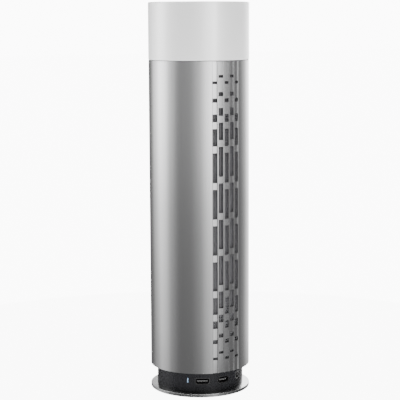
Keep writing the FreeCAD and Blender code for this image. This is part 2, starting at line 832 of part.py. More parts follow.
def outer_sleeve():
    body = document.addObject("PartDesign::Body", "Sleeve")
    drawing = sketch(body, "XZ_Plane", [[
        (seat_radius, sleeve_bottom), (dim.tower_radius, sleeve_bottom),
        (dim.tower_radius, sleeve_top), (sleeve_inside, sleeve_top),
        (sleeve_inside, turntable_top), (seat_radius, turntable_top)]])
    revolution = body.newObject("PartDesign::Revolution", "Revolution")
    revolution.Profile = drawing
    revolution.ReferenceAxis = (drawing, ["V_Axis"])
    revolution.Angle = 360
    body.Tip = revolution
    first_flute = -dim.flute_pitch * (dim.flute_count - 1) / 2
    floor = dim.tower_radius - dim.flute_depth
    outside = dim.tower_radius + dim.flute_depth
    half = dim.flute_width / 2
    flutes = sketch(body, "XY_Plane", [rectangle(0, half, floor, outside),
                                       rectangle(0, half, -outside, -floor)], turn=first_flute)
    cutter = through_pocket(body, flutes)
    polar_pattern(body, cutter, dim.flute_count, -first_flute * 2)
    middle = (sleeve_top + sleeve_bottom) / 2
    low_column = sketch(body, "XZ_Plane", slot_loops(middle - dim.slot_stagger / 2))
    tilt_sketch(low_column, first_flute)
    cutter = through_pocket(body, low_column)
    polar_pattern(body, cutter, (dim.flute_count + 1) / 2, -first_flute * 2)
    high_column = sketch(body, "XZ_Plane", slot_loops(middle + dim.slot_stagger / 2))
    tilt_sketch(high_column, first_flute + dim.flute_pitch)
    cutter = through_pocket(body, high_column)
    polar_pattern(body, cutter, (dim.flute_count - 1) / 2,
                  -(first_flute + dim.flute_pitch) * 2)
    node("outer_sleeve", body)


def tilt_sketch(drawing, angle):
    # Turns an XZ sketch about the Z axis, which is the sketch's own vertical.
    drawing.AttachmentOffset = FreeCAD.Placement(FreeCAD.Vector(),
                                                 FreeCAD.Rotation(FreeCAD.Vector(0, 1, 0), 1))
    bind(drawing, "AttachmentOffset.Rotation.Angle", angle)


def frame_rods():
    rods = []
    nuts = []
    for angle in rod_angles:
        x, y = polar(dim.rod_ring, angle)
        shank = web_top + dim.nut_height + dim.rod_radius - turntable_bottom - dim.rod_head
        rods.append(screw(dim.rod_radius, shank, dim.rod_head_radius, dim.rod_head, x, y,
                          turntable_bottom))
        nuts.append(tube(dim.rod_spacer, dim.rod_radius + dim.slip_gap / 2, dim.nut_height, x, y,
                         web_top))
    node("tie_rods", group(rods))
    node("tie_rod_nuts", group(nuts))


def frame_spacers():
    stretches = (("lower_spacers", turntable_top, lower_plate_bottom),
                 ("long_spacers", lower_plate_top, upper_plate_bottom),
                 ("upper_spacers", upper_plate_top, collar_bottom))
    for label, low, high in stretches:
        tubes = []
        for angle in rod_angles:
            x, y = polar(dim.rod_ring, angle)
            tubes.append(tube(dim.rod_spacer, dim.rod_radius + dim.slip_gap, high - low, x, y, low))
        node(label, group(tubes))


def frame_holes(low, height):
    # Rod holes, and the notch that the lead runs through.
    holes = [cylinder(dim.lead_radius * 2, height, -dim.lead_ring, 0, low)]
    for angle in rod_angles:
        x, y = polar(dim.rod_ring, angle)
        holes.append(cylinder(dim.rod_radius + dim.slip_gap, height, x, y, low))
    return holes


def lower_plate():
    holes = frame_holes(lower_plate_bottom, dim.plate_thick)
    holes.append(cylinder(dim.motor_nose + dim.moving_gap, dim.plate_thick, z=lower_plate_bottom))
    for angle in motor_screw_angles:
        x, y = polar(dim.motor_screw_ring, angle)
        holes.append(cylinder(dim.motor_screw_radius + dim.slip_gap, dim.plate_thick, x, y,
                              lower_plate_bottom))
    node("lower_plate", cut(cylinder(plate_radius, dim.plate_thick, z=lower_plate_bottom), *holes))


def upper_plate():
    holes = frame_holes(upper_plate_bottom, dim.plate_thick)
    holes.append(cylinder(dim.boot_radius + dim.slip_gap, dim.plate_thick, z=upper_plate_bottom))
    node("upper_plate", cut(cylinder(plate_radius, dim.plate_thick, z=upper_plate_bottom), *holes))


def fan_motor():
    can = cylinder(dim.motor_radius, dim.motor_height, z=motor_bottom)
    nose = cylinder(dim.motor_nose, dim.grommet_thick + dim.plate_thick, z=motor_top)
    holes = [cylinder(dim.motor_shaft + dim.running_gap, dim.motor_height + dim.grommet_thick,
                      z=motor_bottom + dim.plate_thick)]
    grommets = []
    screws = []
    grip = dim.motor_height / 4
    for angle in motor_screw_angles:
        x, y = polar(dim.motor_screw_ring, angle)
        holes.append(cylinder(dim.motor_screw_radius + dim.slip_gap, grip, x, y, motor_top - grip))
        grommets.append(tube(dim.grommet_radius, dim.motor_screw_radius + dim.slip_gap,
                             dim.grommet_thick, x, y, motor_top))
        shank = grip * dim.screw_fill + dim.grommet_thick + dim.plate_thick
        screws.append(fuse(cylinder(dim.small_head_radius, dim.screw_head, x, y,
                                    lower_plate_top),
                           cylinder(dim.motor_screw_radius, shank, x, y, lower_plate_top - shank)))
    node("motor_housing", cut(fuse(can, nose), *holes))
    node("motor_grommets", group(grommets))
    node("motor_screws", group(screws))


# ---- impeller ----

def blade_loop():
    # A blade bent forwards: its inner and outer halves meet in the middle of its depth.
    outer = dim.impeller_radius - dim.slip_gap * 2
    inner = outer - dim.blade_depth
    middle = (outer + inner) / 2
    lean = dim.blade_depth * dim.blade_lean
    bend = lean * dim.blade_bend
    thick = dim.blade_thick
    taper = thick * dim.blade_taper
    return [(inner, 0), (middle, bend), (outer, lean), (outer - taper, lean + thick),
            (middle - taper, bend + thick), (inner, thick)]


def impeller_sections():
    for number in range(int(dim.impeller_sections.value)):
        body = document.addObject("PartDesign::Body", "Section")
        blade_length = section_length - dim.impeller_ring
        inner = dim.impeller_radius - dim.blade_depth - dim.blade_thick * 1.5
        ring = sketch(body, "XZ_Plane", [[(inner, blade_length),
                                          (dim.impeller_radius, blade_length),
                                          (dim.impeller_radius, section_length),
                                          (inner, section_length)]])
        revolution = body.newObject("PartDesign::Revolution", "Ring")
        revolution.Profile = ring
        revolution.ReferenceAxis = (ring, ["V_Axis"])
        revolution.Angle = 360
        body.Tip = revolution
        blade = pad(body, sketch(body, "XY_Plane", [blade_loop()]),
                    blade_length + dim.impeller_ring / 3)
        polar_pattern(body, blade, dim.blade_count, 360)
        place(body, z=impeller_bottom + dim.impeller_ring + section_length * number)
        node("impeller_section_%d" % (number + 1), body)


def impeller_ends():
    hub_top = impeller_bottom + dim.impeller_hub_height
    node("impeller_hub", turned([(dim.motor_shaft, impeller_bottom),
                                 (dim.impeller_radius, impeller_bottom),
                                 (dim.impeller_radius, impeller_bottom + dim.impeller_ring),
                                 (dim.impeller_hub, impeller_bottom + dim.impeller_ring),
                                 (dim.impeller_hub, hub_top), (dim.motor_shaft, hub_top)]))
    shaft_bottom = motor_bottom + dim.plate_thick + dim.slip_gap
    node("motor_shaft", cylinder(dim.motor_shaft, hub_top - shaft_bottom, z=shaft_bottom))
    stub_top = upper_plate_top + dim.grommet_thick / 2
    disc_bottom = impeller_top - dim.impeller_ring
    node("impeller_stub", turned([(0, disc_bottom), (dim.impeller_radius, disc_bottom),
                                  (dim.impeller_radius, impeller_top),
                                  (dim.stub_radius * 2, impeller_top),
                                  (dim.stub_radius * 2, impeller_top + dim.impeller_ring),
                                  (dim.stub_radius, impeller_top + dim.impeller_ring),
                                  (dim.stub_radius, stub_top), (0, stub_top)]))


def end_bearing():
    low = upper_plate_bottom - dim.grommet_thick / 2
    height = dim.plate_thick + dim.grommet_thick
    node("upper_bearing", tube(dim.bearing_radius, dim.stub_radius + dim.running_gap, height,
                               z=low))
    node("bearing_boot", tube(dim.boot_radius, dim.bearing_radius + dim.slip_gap / 2, height,
                              z=low))


# ---- air walls and screens ----

def air_walls():
    low = lower_plate_top
    height = upper_plate_bottom - lower_plate_top
    wall = dim.duct_wall
    sides = (("scroll_wall", scroll_radius, dim.scroll_sweep, 0, scroll_shift, 1),
             ("stabiliser_wall", dim.impeller_radius + dim.stabiliser_gap, dim.stabiliser_sweep,
              180, as_size(0), -1))
    for label, radius, sweep, middle, shift, side in sides:
        arc = ring_sector(radius, radius + wall, height, low, middle - sweep / 2, sweep, x=shift)
        end_x = (radius * cosine(sweep / 2) + shift) * side
        end_y = radius * sine(sweep / 2)
        middle_x = end_x + wall / 2 * side
        outlet = box(wall, dim.duct_length, height, middle_x, end_y, low)
        inlet = box(wall, dim.duct_length, height, middle_x, -end_y - dim.duct_length, low)
        trim = tube(dim.tower_radius * 2, plate_radius - dim.plate_gap, height, z=low)
        node(label, cut(fuse(arc, outlet, inlet), trim))


def screens():
    low = turntable_top + dim.plate_gap
    height = collar_bottom - dim.plate_gap - low
    for label, direction in (("inlet_screen", 90), ("outlet_screen", 270)):
        node(label, ring_sector(screen_outside - dim.screen_thick, screen_outside, height, low,
                                direction - dim.screen_half_angle, dim.screen_half_angle * 2))


# ---- collar, cap and button ----

def cap_collar():
    spigot = sleeve_inside - dim.slip_gap
    inside = spigot - dim.collar_wall
    rim = dim.tower_radius - dim.collar_rim
    register = cap_inside - dim.slip_gap
    top = cap_bottom + dim.collar_register
    ring = turned([(dim.collar_hole, collar_bottom), (spigot, collar_bottom), (spigot, sleeve_top),
                   (rim, sleeve_top), (rim, cap_bottom), (register, cap_bottom), (register, top),
                   (inside, top), (inside, web_top), (dim.collar_hole, web_top)])
    holes = frame_holes(collar_bottom, dim.collar_web)
    for angle in cap_post_angles:
        x, y = polar(dim.cap_post_ring, angle)
        holes.append(cylinder(dim.screw_radius + dim.slip_gap, dim.collar_web, x, y,
                              collar_bottom))
    node("cap_collar", cut(ring, *holes))


def top_cap():
    edge = dim.cap_edge
    top = dim.total_height
    shell = turned([(dim.button_radius + dim.button_gap, cap_ceiling), (cap_inside, cap_ceiling),
                    (cap_inside, cap_bottom), (dim.tower_radius, cap_bottom),
                    (dim.tower_radius, top - edge), (dim.tower_radius - edge * 0.29,
                                                     top - edge * 0.29),
                    (dim.tower_radius - edge, top), (dim.button_radius + dim.button_gap, top)])
    guide_inside = dim.button_radius + dim.button_flange + dim.button_gap
    solids = [shell, tube(guide_inside + dim.guide_wall, guide_inside,
                          dim.guide_depth + dim.cap_wall / 2, z=cap_ceiling - dim.guide_depth)]
    holes = []
    for angle in cap_post_angles:
        x, y = polar(dim.cap_post_ring, angle)
        solids.append(cylinder(dim.cap_post, cap_ceiling + dim.cap_wall / 2 - web_top, x, y,
                               web_top))
        holes.append(cylinder(dim.screw_radius + dim.slip_gap, dim.screw_grip, x, y, web_top))
    for angle in pillar_angles:
        x, y = polar(dim.pillar_ring, angle)
        solids.append(cylinder(dim.pillar_radius, dim.control_drop + dim.cap_wall / 2, x, y,
                               control_top))
        holes.append(cylinder(dim.motor_screw_radius + dim.slip_gap,
                              dim.control_drop * dim.screw_fill, x, y, control_top))
    node("top_cap", cut(fuse(*solids), *holes))


def cap_screws():
    screws = []
    for angle in cap_post_angles:
        x, y = polar(dim.cap_post_ring, angle)
        shank = dim.collar_web + dim.screw_grip * dim.screw_fill
        screws.append(screw(dim.screw_radius, shank, dim.screw_head_radius, dim.screw_head, x, y,
                            collar_bottom - dim.screw_head))
    node("cap_screws", group(screws))


def control_board():
    holes = []
    screws = []
    for angle in pillar_angles:
        x, y = polar(dim.pillar_ring, angle)
        holes.append(cylinder(dim.motor_screw_radius + dim.slip_gap, dim.board_thick, x, y,
                              control_bottom))
        shank = dim.board_thick + dim.control_drop * dim.screw_fill * dim.screw_fill
        screws.append(screw(dim.motor_screw_radius, shank, dim.small_head_radius, dim.screw_head,
                            x, y, control_bottom - dim.screw_head))
    board = cylinder(dim.control_radius, dim.board_thick, z=control_bottom)
    node("control_board", cut(board, *holes))
    node("board_screws", group(screws))
    case = box(dim.switch_width, dim.switch_width, dim.switch_case, 0, -dim.switch_width / 2,
               control_top)
    node("button_switch", fuse(case, cylinder(dim.switch_width / 4, dim.switch_height,
                                              z=control_top)))


def power_button():
    # The stem stops just above the switch, so a full press ends with the two in touch.
    stem_bottom = control_top + dim.switch_height + dim.button_travel + dim.slip_gap
    flange = dim.button_radius + dim.button_flange
    edge = dim.button_gap
    node("power_button", turned([(0, stem_bottom), (dim.button_stem, stem_bottom),
                                 (dim.button_stem, flange_bottom), (flange, flange_bottom),
                                 (flange, flange_top), (dim.button_radius, flange_top),
                                 (dim.button_radius, dim.total_height - edge),
                                 (dim.button_radius - edge, dim.total_height),
                                 (0, dim.total_height)]))


def button_spring():
    # An open coil between the control board and the button's flange.
    wire = dim.spring_wire.value
    radius = dim.spring_radius.value
    height = (flange_bottom - control_top - dim.spring_play).value - 2 * wire
    helix = Part.makeHelix(height / dim.spring_turns.value, height, radius)
    circle = Part.makeCircle(wire / 2, FreeCAD.Vector(radius, 0, 0), FreeCAD.Vector(0, 1, 0))
    coil = Part.Wire(helix).makePipeShell([Part.Wire(circle)], True, True)
    thing = document.addObject("Part::Feature", "Spring")
    thing.Shape = coil
    place(thing, z=control_top + dim.spring_wire)
    node("button_spring", thing)


# ---- leads ----

def lead_path(points, radii):
    # Straight runs joined by arcs that are tangent to both runs.
    edges = []
    start = points[0]
    for index, radius in enumerate(radii, 1):
        corner = points[index]
        back = (points[index - 1] - corner).normalize()
        ahead = (points[index + 1] - corner).normalize()
        half_turn = (math.pi - back.getAngle(ahead)) / 2
        reach = radius * math.tan(half_turn)
        first = corner + back * reach
        last = corner + ahead * reach
        inward = (back + ahead).normalize()
        middle = corner + inward * (radius / math.cos(half_turn) - radius)
        edges.append(Part.LineSegment(start, first).toShape())
        edges.append(Part.Arc(first, middle, last).toShape())
        start = last
    edges.append(Part.LineSegment(start, points[-1]).toShape())
    return Part.Wire(edges)


def leads():
    plug_top = board_top + dim.riser_plug_height
    node("riser_plug", box(dim.riser_plug_width, dim.lead_plug_depth, dim.riser_plug_height, 0,
                           -dim.lead_plug_depth / 2, board_top))
    meeting = turntable_top + dim.lead_rise / 5
    node("riser_lead", cylinder(dim.riser_radius, meeting - plug_top, z=plug_top))
    level = (turntable_top + dim.lead_rise).value
    ring = dim.lead_ring.value
    reach = dim.lead_plug_reach.value
    plug_bottom = (control_bottom - dim.lead_plug_height).value
    slack = dim.lead_slack.value
    bend = plug_bottom - (ring - reach)
    start = FreeCAD.Vector(0, 0, (meeting + dim.moving_gap).value)
    points = [start, FreeCAD.Vector(0, 0, level), FreeCAD.Vector(-ring, 0, level),
              FreeCAD.Vector(-ring, 0, bend - slack),
              FreeCAD.Vector(-reach, 0, bend), FreeCAD.Vector(-reach, 0, plug_bottom)]
    bends = (level - start.z - dim.button_gap.value * 2, dim.lead_foot_bend.value,
             dim.lead_long_bend.value, slack)
    path = lead_path(points, bends)
    circle = Part.makeCircle(dim.lead_radius.value, start, FreeCAD.Vector(0, 0, 1))
    thing = document.addObject("Part::Feature", "Lead")
    thing.Shape = path.makePipeShell([Part.Wire(circle)], True, False)
    node("tower_lead", thing)
    node("lead_plug", box(dim.lead_plug_width, dim.lead_plug_depth, dim.lead_plug_height,
                          -dim.lead_plug_reach, -dim.lead_plug_depth / 2,
                          control_bottom - dim.lead_plug_height))


for build in (foot_disc, foot_ring, ballast_plate, plinth_housing, plinth_screws, socket_board,
              board_spacers, wide_socket, oval_socket, power_jack, status_light, swivel_bush,
              swivel_washer, gear_pair, swivel_motor, swivel_motor_screws, hub_retainer, turntable,
              outer_sleeve, frame_rods, frame_spacers, lower_plate, upper_plate, fan_motor,
              impeller_sections, impeller_ends, end_bearing, air_walls, screens, cap_collar,
              top_cap, cap_screws, control_board, power_button, button_spring, leads):
    build()
document.recompute()

faults = [thing.Label for thing in document.Objects
          if "Invalid" in thing.State or "Error" in thing.State]
faults += [thing.Label for thing in nodes if thing.Shape.isNull() or not thing.Shape.isValid()]
if faults:
    raise RuntimeError("not built: " + ", ".join(faults))

os.makedirs("parts", exist_ok=True)
for thing in nodes:
    thing.Shape.exportStep("parts/%s.step" % thing.Label)
    print("%-22s %2d solids %10.1f mm3" % (thing.Label, len(thing.Shape.Solids),
                                           thing.Shape.Volume))
print("%d nodes" % len(nodes))
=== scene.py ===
import json
import math
import bmesh
import bpy
from mathutils import Matrix, Vector


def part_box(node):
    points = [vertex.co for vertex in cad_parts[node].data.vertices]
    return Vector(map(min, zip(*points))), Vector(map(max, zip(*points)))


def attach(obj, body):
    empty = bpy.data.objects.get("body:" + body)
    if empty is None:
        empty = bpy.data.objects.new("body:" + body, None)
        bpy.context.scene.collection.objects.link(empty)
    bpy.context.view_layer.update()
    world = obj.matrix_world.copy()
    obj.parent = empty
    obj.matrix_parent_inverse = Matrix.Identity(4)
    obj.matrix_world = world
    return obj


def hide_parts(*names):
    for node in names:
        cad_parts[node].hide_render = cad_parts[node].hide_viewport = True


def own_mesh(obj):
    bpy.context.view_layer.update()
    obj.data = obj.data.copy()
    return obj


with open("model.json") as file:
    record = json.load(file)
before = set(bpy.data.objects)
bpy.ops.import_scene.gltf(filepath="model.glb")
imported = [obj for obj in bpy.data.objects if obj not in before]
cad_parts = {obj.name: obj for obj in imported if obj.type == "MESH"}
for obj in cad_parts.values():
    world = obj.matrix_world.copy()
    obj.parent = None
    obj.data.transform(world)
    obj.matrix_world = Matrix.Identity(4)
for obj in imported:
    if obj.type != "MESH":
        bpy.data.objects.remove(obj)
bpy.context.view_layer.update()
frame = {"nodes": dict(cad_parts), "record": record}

mm = 0.001


def report(words):
    print("tower fan:", words)


# Node trees

def addNode(tree, kind, inputs, output=0, **settings):
    # Adds a node, feeds its inputs from sockets or plain values and returns one output.
    node = tree.nodes.new(kind)
    for name, value in settings.items():
        setattr(node, name, value)
    for key, value in inputs.items():
        if isinstance(value, bpy.types.NodeSocket):
            tree.links.new(value, node.inputs[key])
        else:
            node.inputs[key].default_value = value
    return node.outputs[output]


class Tree:
    # A geometry nodes tree that is put together line by line, with named inputs.
    def __init__(self, name, inputs):
        self.group = bpy.data.node_groups.new(name, "GeometryNodeTree")
        self.identifiers = {}
        face = self.group.interface
        face.new_socket(name="Geometry", in_out="INPUT", socket_type="NodeSocketGeometry")
        for title, kind in inputs.items():
            socket = face.new_socket(name=title, in_out="INPUT", socket_type="NodeSocket" + kind)
            self.identifiers[title] = socket.identifier
        face.new_socket(name="Geometry", in_out="OUTPUT", socket_type="NodeSocketGeometry")
        self.start = self.group.nodes.new("NodeGroupInput")
        self.geometry = self.start.outputs["Geometry"]

    def given(self, title):
        return self.start.outputs[title]

    def add(self, kind, inputs, output=0, **settings):
        return addNode(self.group, kind, inputs, output, **settings)

    def math(self, operation, *values):
        return self.add("ShaderNodeMath", dict(enumerate(values)), operation=operation)

    def vector(self, x, y, z):
        return self.add("ShaderNodeCombineXYZ", {0: x, 1: y, 2: z})

    def join(self, *parts):
        node = self.group.nodes.new("GeometryNodeJoinGeometry")
        for part in parts:
            self.group.links.new(part, node.inputs[0])
        return node.outputs[0]

    def finish(self, geometry):
        # Every tree ends in plain geometry with its material.
        solid = self.add("GeometryNodeRealizeInstances", {"Geometry": geometry})
        named = self.add("GeometryNodeSetMaterial",
                         {"Geometry": solid, "Material": self.given("Material")})
        self.group.links.new(named, self.group.nodes.new("NodeGroupOutput").inputs[0])
        return self


def grow(name, tree, guide, values, smoothAngle=35):
    # Runs a tree on a guide mesh and keeps the result as one plain mesh.
    helper = newObject(name + "Guide", guide)
    modifier = helper.modifiers.new("grow", "NODES")
    modifier.node_group = tree.group
    for title, value in values.items():
        modifier[tree.identifiers[title]] = value
    graph = bpy.context.evaluated_depsgraph_get()
    mesh = bpy.data.meshes.new_from_object(helper.evaluated_get(graph))
    helper.modifiers.remove(modifier)
    bpy.data.objects.remove(helper)
    mesh.name = name
    piece = newObject(name, mesh)
    shadeSmooth(mesh, smoothAngle)
    return piece


# Mesh helpers

def newObject(name, mesh):
    piece = bpy.data.objects.new(name, mesh)
    bpy.context.scene.collection.objects.link(piece)
    return piece


def shadeSmooth(mesh, angle=35):
    # Smooth faces, with hard edges kept where the surface turns by more than the angle.
    mesh.shade_smooth()
    work = bmesh.new()
    work.from_mesh(mesh)
    for edge in work.edges:
        edge.smooth = len(edge.link_faces) == 2 and edge.calc_face_angle() < math.radians(angle)
    work.to_mesh(mesh)
    work.free()


def pointMesh(name, points, edges=(), **attributes):
    mesh = bpy.data.meshes.new(name)
    mesh.from_pydata(points, edges, [])
    for title, values in attributes.items():
        mesh.attributes.new(title, "FLOAT", "POINT").data.foreach_set("value", values)
    return mesh


def roundedLoop(corners, steps=5):
    # Corners are (across, up, radius); each becomes an arc tangent to its two sides.
    points = []
    for index, (across, up, radius) in enumerate(corners):
        corner = Vector((across, up))
        if radius <= 0:
            points.append(corner)
            continue
        before = (Vector(corners[index - 1][:2]) - corner).normalized()
        after = (Vector(corners[(index + 1) % len(corners)][:2]) - corner).normalized()
        half = before.angle(after) / 2
        middle = corner + (before + after).normalized() * (radius / math.sin(half))
        first = corner + before * (radius / math.tan(half)) - middle
        last = corner + after * (radius / math.tan(half)) - middle
        swing = math.atan2(first.x * last.y - first.y * last.x, first.dot(last))
        for step in range(steps + 1):
            turn = swing * step / steps
            points.append(middle + Vector((first.x * math.cos(turn) - first.y * math.sin(turn),
                                           first.x * math.sin(turn) + first.y * math.cos(turn))))
    return points


def closeMesh(name, work):
    bmesh.ops.remove_doubles(work, verts=work.verts, dist=1e-7)
    bmesh.ops.recalc_face_normals(work, faces=work.faces)
    mesh = bpy.data.meshes.new(name)
    work.to_mesh(mesh)
    work.free()
    return mesh


def latheMesh(name, corners, segments=256, steps=5):
    # A closed turned solid from its half section, whose points may lie on the axis.
    loop = roundedLoop(corners, steps)
    work = bmesh.new()
    rings = []
    for point in loop:
        ring = []
        for step in range(segments):
            angle = 2 * math.pi * step / segments
            ring.append(work.verts.new((point.x * math.cos(angle), point.x * math.sin(angle),
                                        point.y)))
        rings.append(ring)
    for index, ring in enumerate(rings):
        other = rings[(index + 1) % len(rings)]
        if loop[index].x < 1e-7 and loop[(index + 1) % len(rings)].x < 1e-7:
            continue
        for step in range(segments):
            following = (step + 1) % segments
            work.faces.new((ring[step], ring[following], other[following], other[step]))
    bmesh.ops.remove_doubles(work, verts=work.verts, dist=1e-7)
    bmesh.ops.dissolve_degenerate(work, edges=work.edges, dist=1e-7)
    return closeMesh(name, work)


def carve(piece, tools):
    # Cuts meshes out of a piece and keeps one plain mesh.
    for mesh in tools:
        tool = newObject("tool", mesh)
        modifier = piece.modifiers.new("carve", "BOOLEAN")
        modifier.operation = "DIFFERENCE"
        modifier.solver = "EXACT"
        modifier.object = tool
        graph = bpy.context.evaluated_depsgraph_get()
        result = bpy.data.meshes.new_from_object(piece.evaluated_get(graph))
        piece.modifiers.clear()
        piece.data = result
        bpy.data.objects.remove(tool)


def finishPiece(piece, body, slotName, *nodes):
    piece.data.materials.clear()
    piece.data.materials.append(finishes[slotName])
    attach(piece, body)
    if nodes:
        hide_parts(*nodes)
    report(piece.name + " is made")
    return piece


# Camera, lights and floor

cameraSettings = {
    "azimuth": 147.5,        # degrees round the tower, 0 is the front
    "distance": 1.2387,      # metres from the tower's axis
    "height": 0.3602,
    "sideways": 0.0006,
    "pitch": 7.958,          # degrees down
    "roll": -0.231,
    "lens": 114.17,
}


def towardsCamera(turn):
    # A level direction from the tower, turned from the camera's side towards its right.
    angle = math.radians(cameraSettings["azimuth"] + turn)
    return Vector((math.sin(angle), -math.cos(angle), 0))


def makeCamera():
    look = cameraSettings
    back = towardsCamera(0)
    right = towardsCamera(90)
    up = Vector((0, 0, 1))
    pitch = math.radians(look["pitch"])
    away = -back * math.cos(pitch) - up * math.sin(pitch)
    over = -back * math.sin(pitch) + up * math.cos(pitch)
    roll = math.radians(look["roll"])
    rightRolled = right * math.cos(roll) + over * math.sin(roll)
    overRolled = over * math.cos(roll) - right * math.sin(roll)
    data = bpy.data.cameras.new("camera")
    data.lens = look["lens"]
    data.clip_end = 100
    camera = bpy.data.objects.new("camera", data)
    bpy.context.scene.collection.objects.link(camera)
    axes = Matrix((rightRolled, overRolled, -away)).transposed().to_4x4()
    place = back * look["distance"] + right * look["sideways"] + up * look["height"]
    camera.matrix_world = Matrix.Translation(place) @ axes
    bpy.context.scene.camera = camera


studioSettings = {
    "worldGlow": 11.0,
    "floorGlow": 9.5,
    "floorTone": 0.1,
    "floorReach": 12.0,
    "wrapRadius": 0.45,
    "wrapHeight": 0.8,
    "wrapBase": 0.15,
    "wrapSegments": 96,
    "wrapEase": 4,
    "mostGlow": 10.0,        # glow and share that the full height of a colour ramp stands for
    "mostShare": 2.0,
    # turn from the camera towards its right, glow
    "wrap": ((-180, 4.0), (-165, 0.12), (-140, 0.03), (-118, 1.55), (-100, 3.7), (-88, 2.9),
             (-70, 0.8), (-48, 0.15), (-20, 0.2), (0, 0.55), (24, 2.2), (36, 3.4), (48, 1.1),
             (62, 0.45), (80, 0.1), (108, 0.1), (124, 0.6), (145, 3.0), (165, 8.0), (180, 8.0)),
    # height on the wrap, share of the glow
    "fade": ((0.0, 0.43), (0.13, 0.6), (0.25, 1.0), (0.35, 1.25), (0.8, 1.3)),
    # distance from the axis on the mat, share of the glow
    "mat": ((0.05, 0.2), (0.19, 0.33), (0.45, 0.43)),
    "ceilingGlow": 5.5,
}


def glowMaterial(name, span, fade, outside):
    # On the inner side the glow follows the turn along U and fades along V.
    look = studioSettings
    material = bpy.data.materials.new(name)
    material.use_nodes = True
    tree = material.node_tree
    tree.nodes.clear()
    place = addNode(tree, "ShaderNodeUVMap", {}, uv_map="wrap")
    apart = addNode(tree, "ShaderNodeSeparateXYZ", {0: place}).node
    turns = [((turn + 180) / 360, glow / look["mostGlow"]) for turn, glow in look["wrap"]]
    heights = [(up / span, share / look["mostShare"]) for up, share in fade]
    shares = {}
    for axis, stops, blend in ((0, turns, "EASE"), (1, heights, "LINEAR")):
        shares[axis] = addNode(tree, "ShaderNodeValToRGB", {0: apart.outputs[axis]})
        ramp = shares[axis].node.color_ramp
        ramp.interpolation = blend
        while len(ramp.elements) < len(stops):
            ramp.elements.new(0.5)
        for element, (position, value) in zip(ramp.elements, stops):
            element.position = position
            element.color = (value, value, value, 1)
    product = addNode(tree, "ShaderNodeMath", shares, operation="MULTIPLY")
    strength = addNode(tree, "ShaderNodeMath", {
        0: product, 1: look["mostGlow"] * look["mostShare"], 2: look["wrapBase"]},
        operation="MULTIPLY_ADD")
    outer = addNode(tree, "ShaderNodeNewGeometry", {}, "Backfacing")
    side = addNode(tree, "ShaderNodeMix", {0: outer, 2: strength, 3: outside})
    glow = addNode(tree, "ShaderNodeEmission", {"Strength": side})
    tree.links.new(glow, tree.nodes.new("ShaderNodeOutputMaterial").inputs[0])
    return material


def wrapMesh(name, loop, span):
    # A turned open sheet. U is the direction that the sleeve mirrors there, V the way along.
    segments = studioSettings["wrapSegments"]
    ease = studioSettings["wrapEase"]
    tower = halfWidth("outer_sleeve")
    work = bmesh.new()
    layer = work.loops.layers.uv.new("wrap")
    rings = []
    for radius, height, along in loop:
        ring = []
        for step in range(segments + 1):
            turn = -180 + 360 * step / segments
            lag = math.degrees(math.asin(tower / radius * math.sin(math.radians(turn / 2))))
            way = towardsCamera(turn - lag * (1 - (turn / 180) ** ease)) * radius
            ring.append((work.verts.new((way.x, way.y, height)), step / segments, along / span))
        rings.append(ring)
    for low, high in zip(rings, rings[1:]):
        for step in range(segments):
            corners = (low[step + 1], low[step], high[step], high[step + 1])
            face = work.faces.new([corner[0] for corner in corners])
            for corner, (point, u, v) in zip(face.loops, corners):
                corner[layer].uv = (u, v)
    mesh = bpy.data.meshes.new(name)
    work.to_mesh(mesh)
    work.free()
    return newObject(name, mesh)


def makeStudio():
    look = studioSettings
    radius, top = look["wrapRadius"], look["wrapHeight"]
    # A tall wrap lights the sides and shows in the gloss, a dark mat on the floor shows only
    # in the gloss, and a soft ceiling closes the top. The camera sees none of them.
    wrap = wrapMesh("softWrap", [(radius, 0, 0), (radius, top / 2, top / 2), (radius, top, top)],
                    top)
    wrap.data.materials.append(glowMaterial("wrapGlow", top, look["fade"], look["worldGlow"]))
    edge = halfWidth("foot_disc") + 0.5 * mm
    mat = wrapMesh("glossMat", [(edge, 0.2 * mm, edge), (radius, 0.2 * mm, radius)], radius)
    mat.data.materials.append(glowMaterial("matGlow", radius, look["mat"], look["wrapBase"]))
    mat.visible_diffuse = False
    mat.visible_shadow = False
    ceiling = squareMesh("ceiling", radius, top)
    ceiling.data.materials.append(emissive("ceilingGlow", look["ceilingGlow"]))
    for piece in (wrap, mat, ceiling):
        piece.visible_camera = False
    world = bpy.data.worlds.new("studio")
    world.use_nodes = True
    background = world.node_tree.nodes["Background"]
    background.inputs["Color"].default_value = (1, 1, 1, 1)
    background.inputs["Strength"].default_value = look["worldGlow"]
    bpy.context.scene.world = world


def squareMesh(name, reach, height):
    mesh = bpy.data.meshes.new(name)
    mesh.from_pydata([(-reach, -reach, height), (reach, -reach, height), (reach, reach, height),
                      (-reach, reach, height)], [], [(0, 1, 2, 3)])
    return newObject(name, mesh)


def emissive(name, glow, tone=0.0):
    material = plainMaterial(name, [tone] * 3, 1.0)
    shader = material.node_tree.nodes["Principled BSDF"]
    shader.inputs["Specular IOR Level"].default_value = 0
    shader.inputs["Emission Color"].default_value = (1, 1, 1, 1)
    shader.inputs["Emission Strength"].default_value = glow
    return material


def makeFloor():
    look = studioSettings
    floor = squareMesh("floor", look["floorReach"], 0)
    pale = emissive("paleFloor", look["floorGlow"], look["floorTone"])
    pale.cycles.emission_sampling = "NONE"
    # Clear from below, so that the underside can be looked at.
    tree = pale.node_tree
    below = addNode(tree, "ShaderNodeNewGeometry", {}, "Backfacing")
    clear = addNode(tree, "ShaderNodeBsdfTransparent", {})
    side = addNode(tree, "ShaderNodeMixShader", {
        0: below, 1: tree.nodes["Principled BSDF"].outputs[0], 2: clear})
    tree.links.new(side, tree.nodes["Material Output"].inputs[0])
    floor.data.materials.append(pale)


# Materials

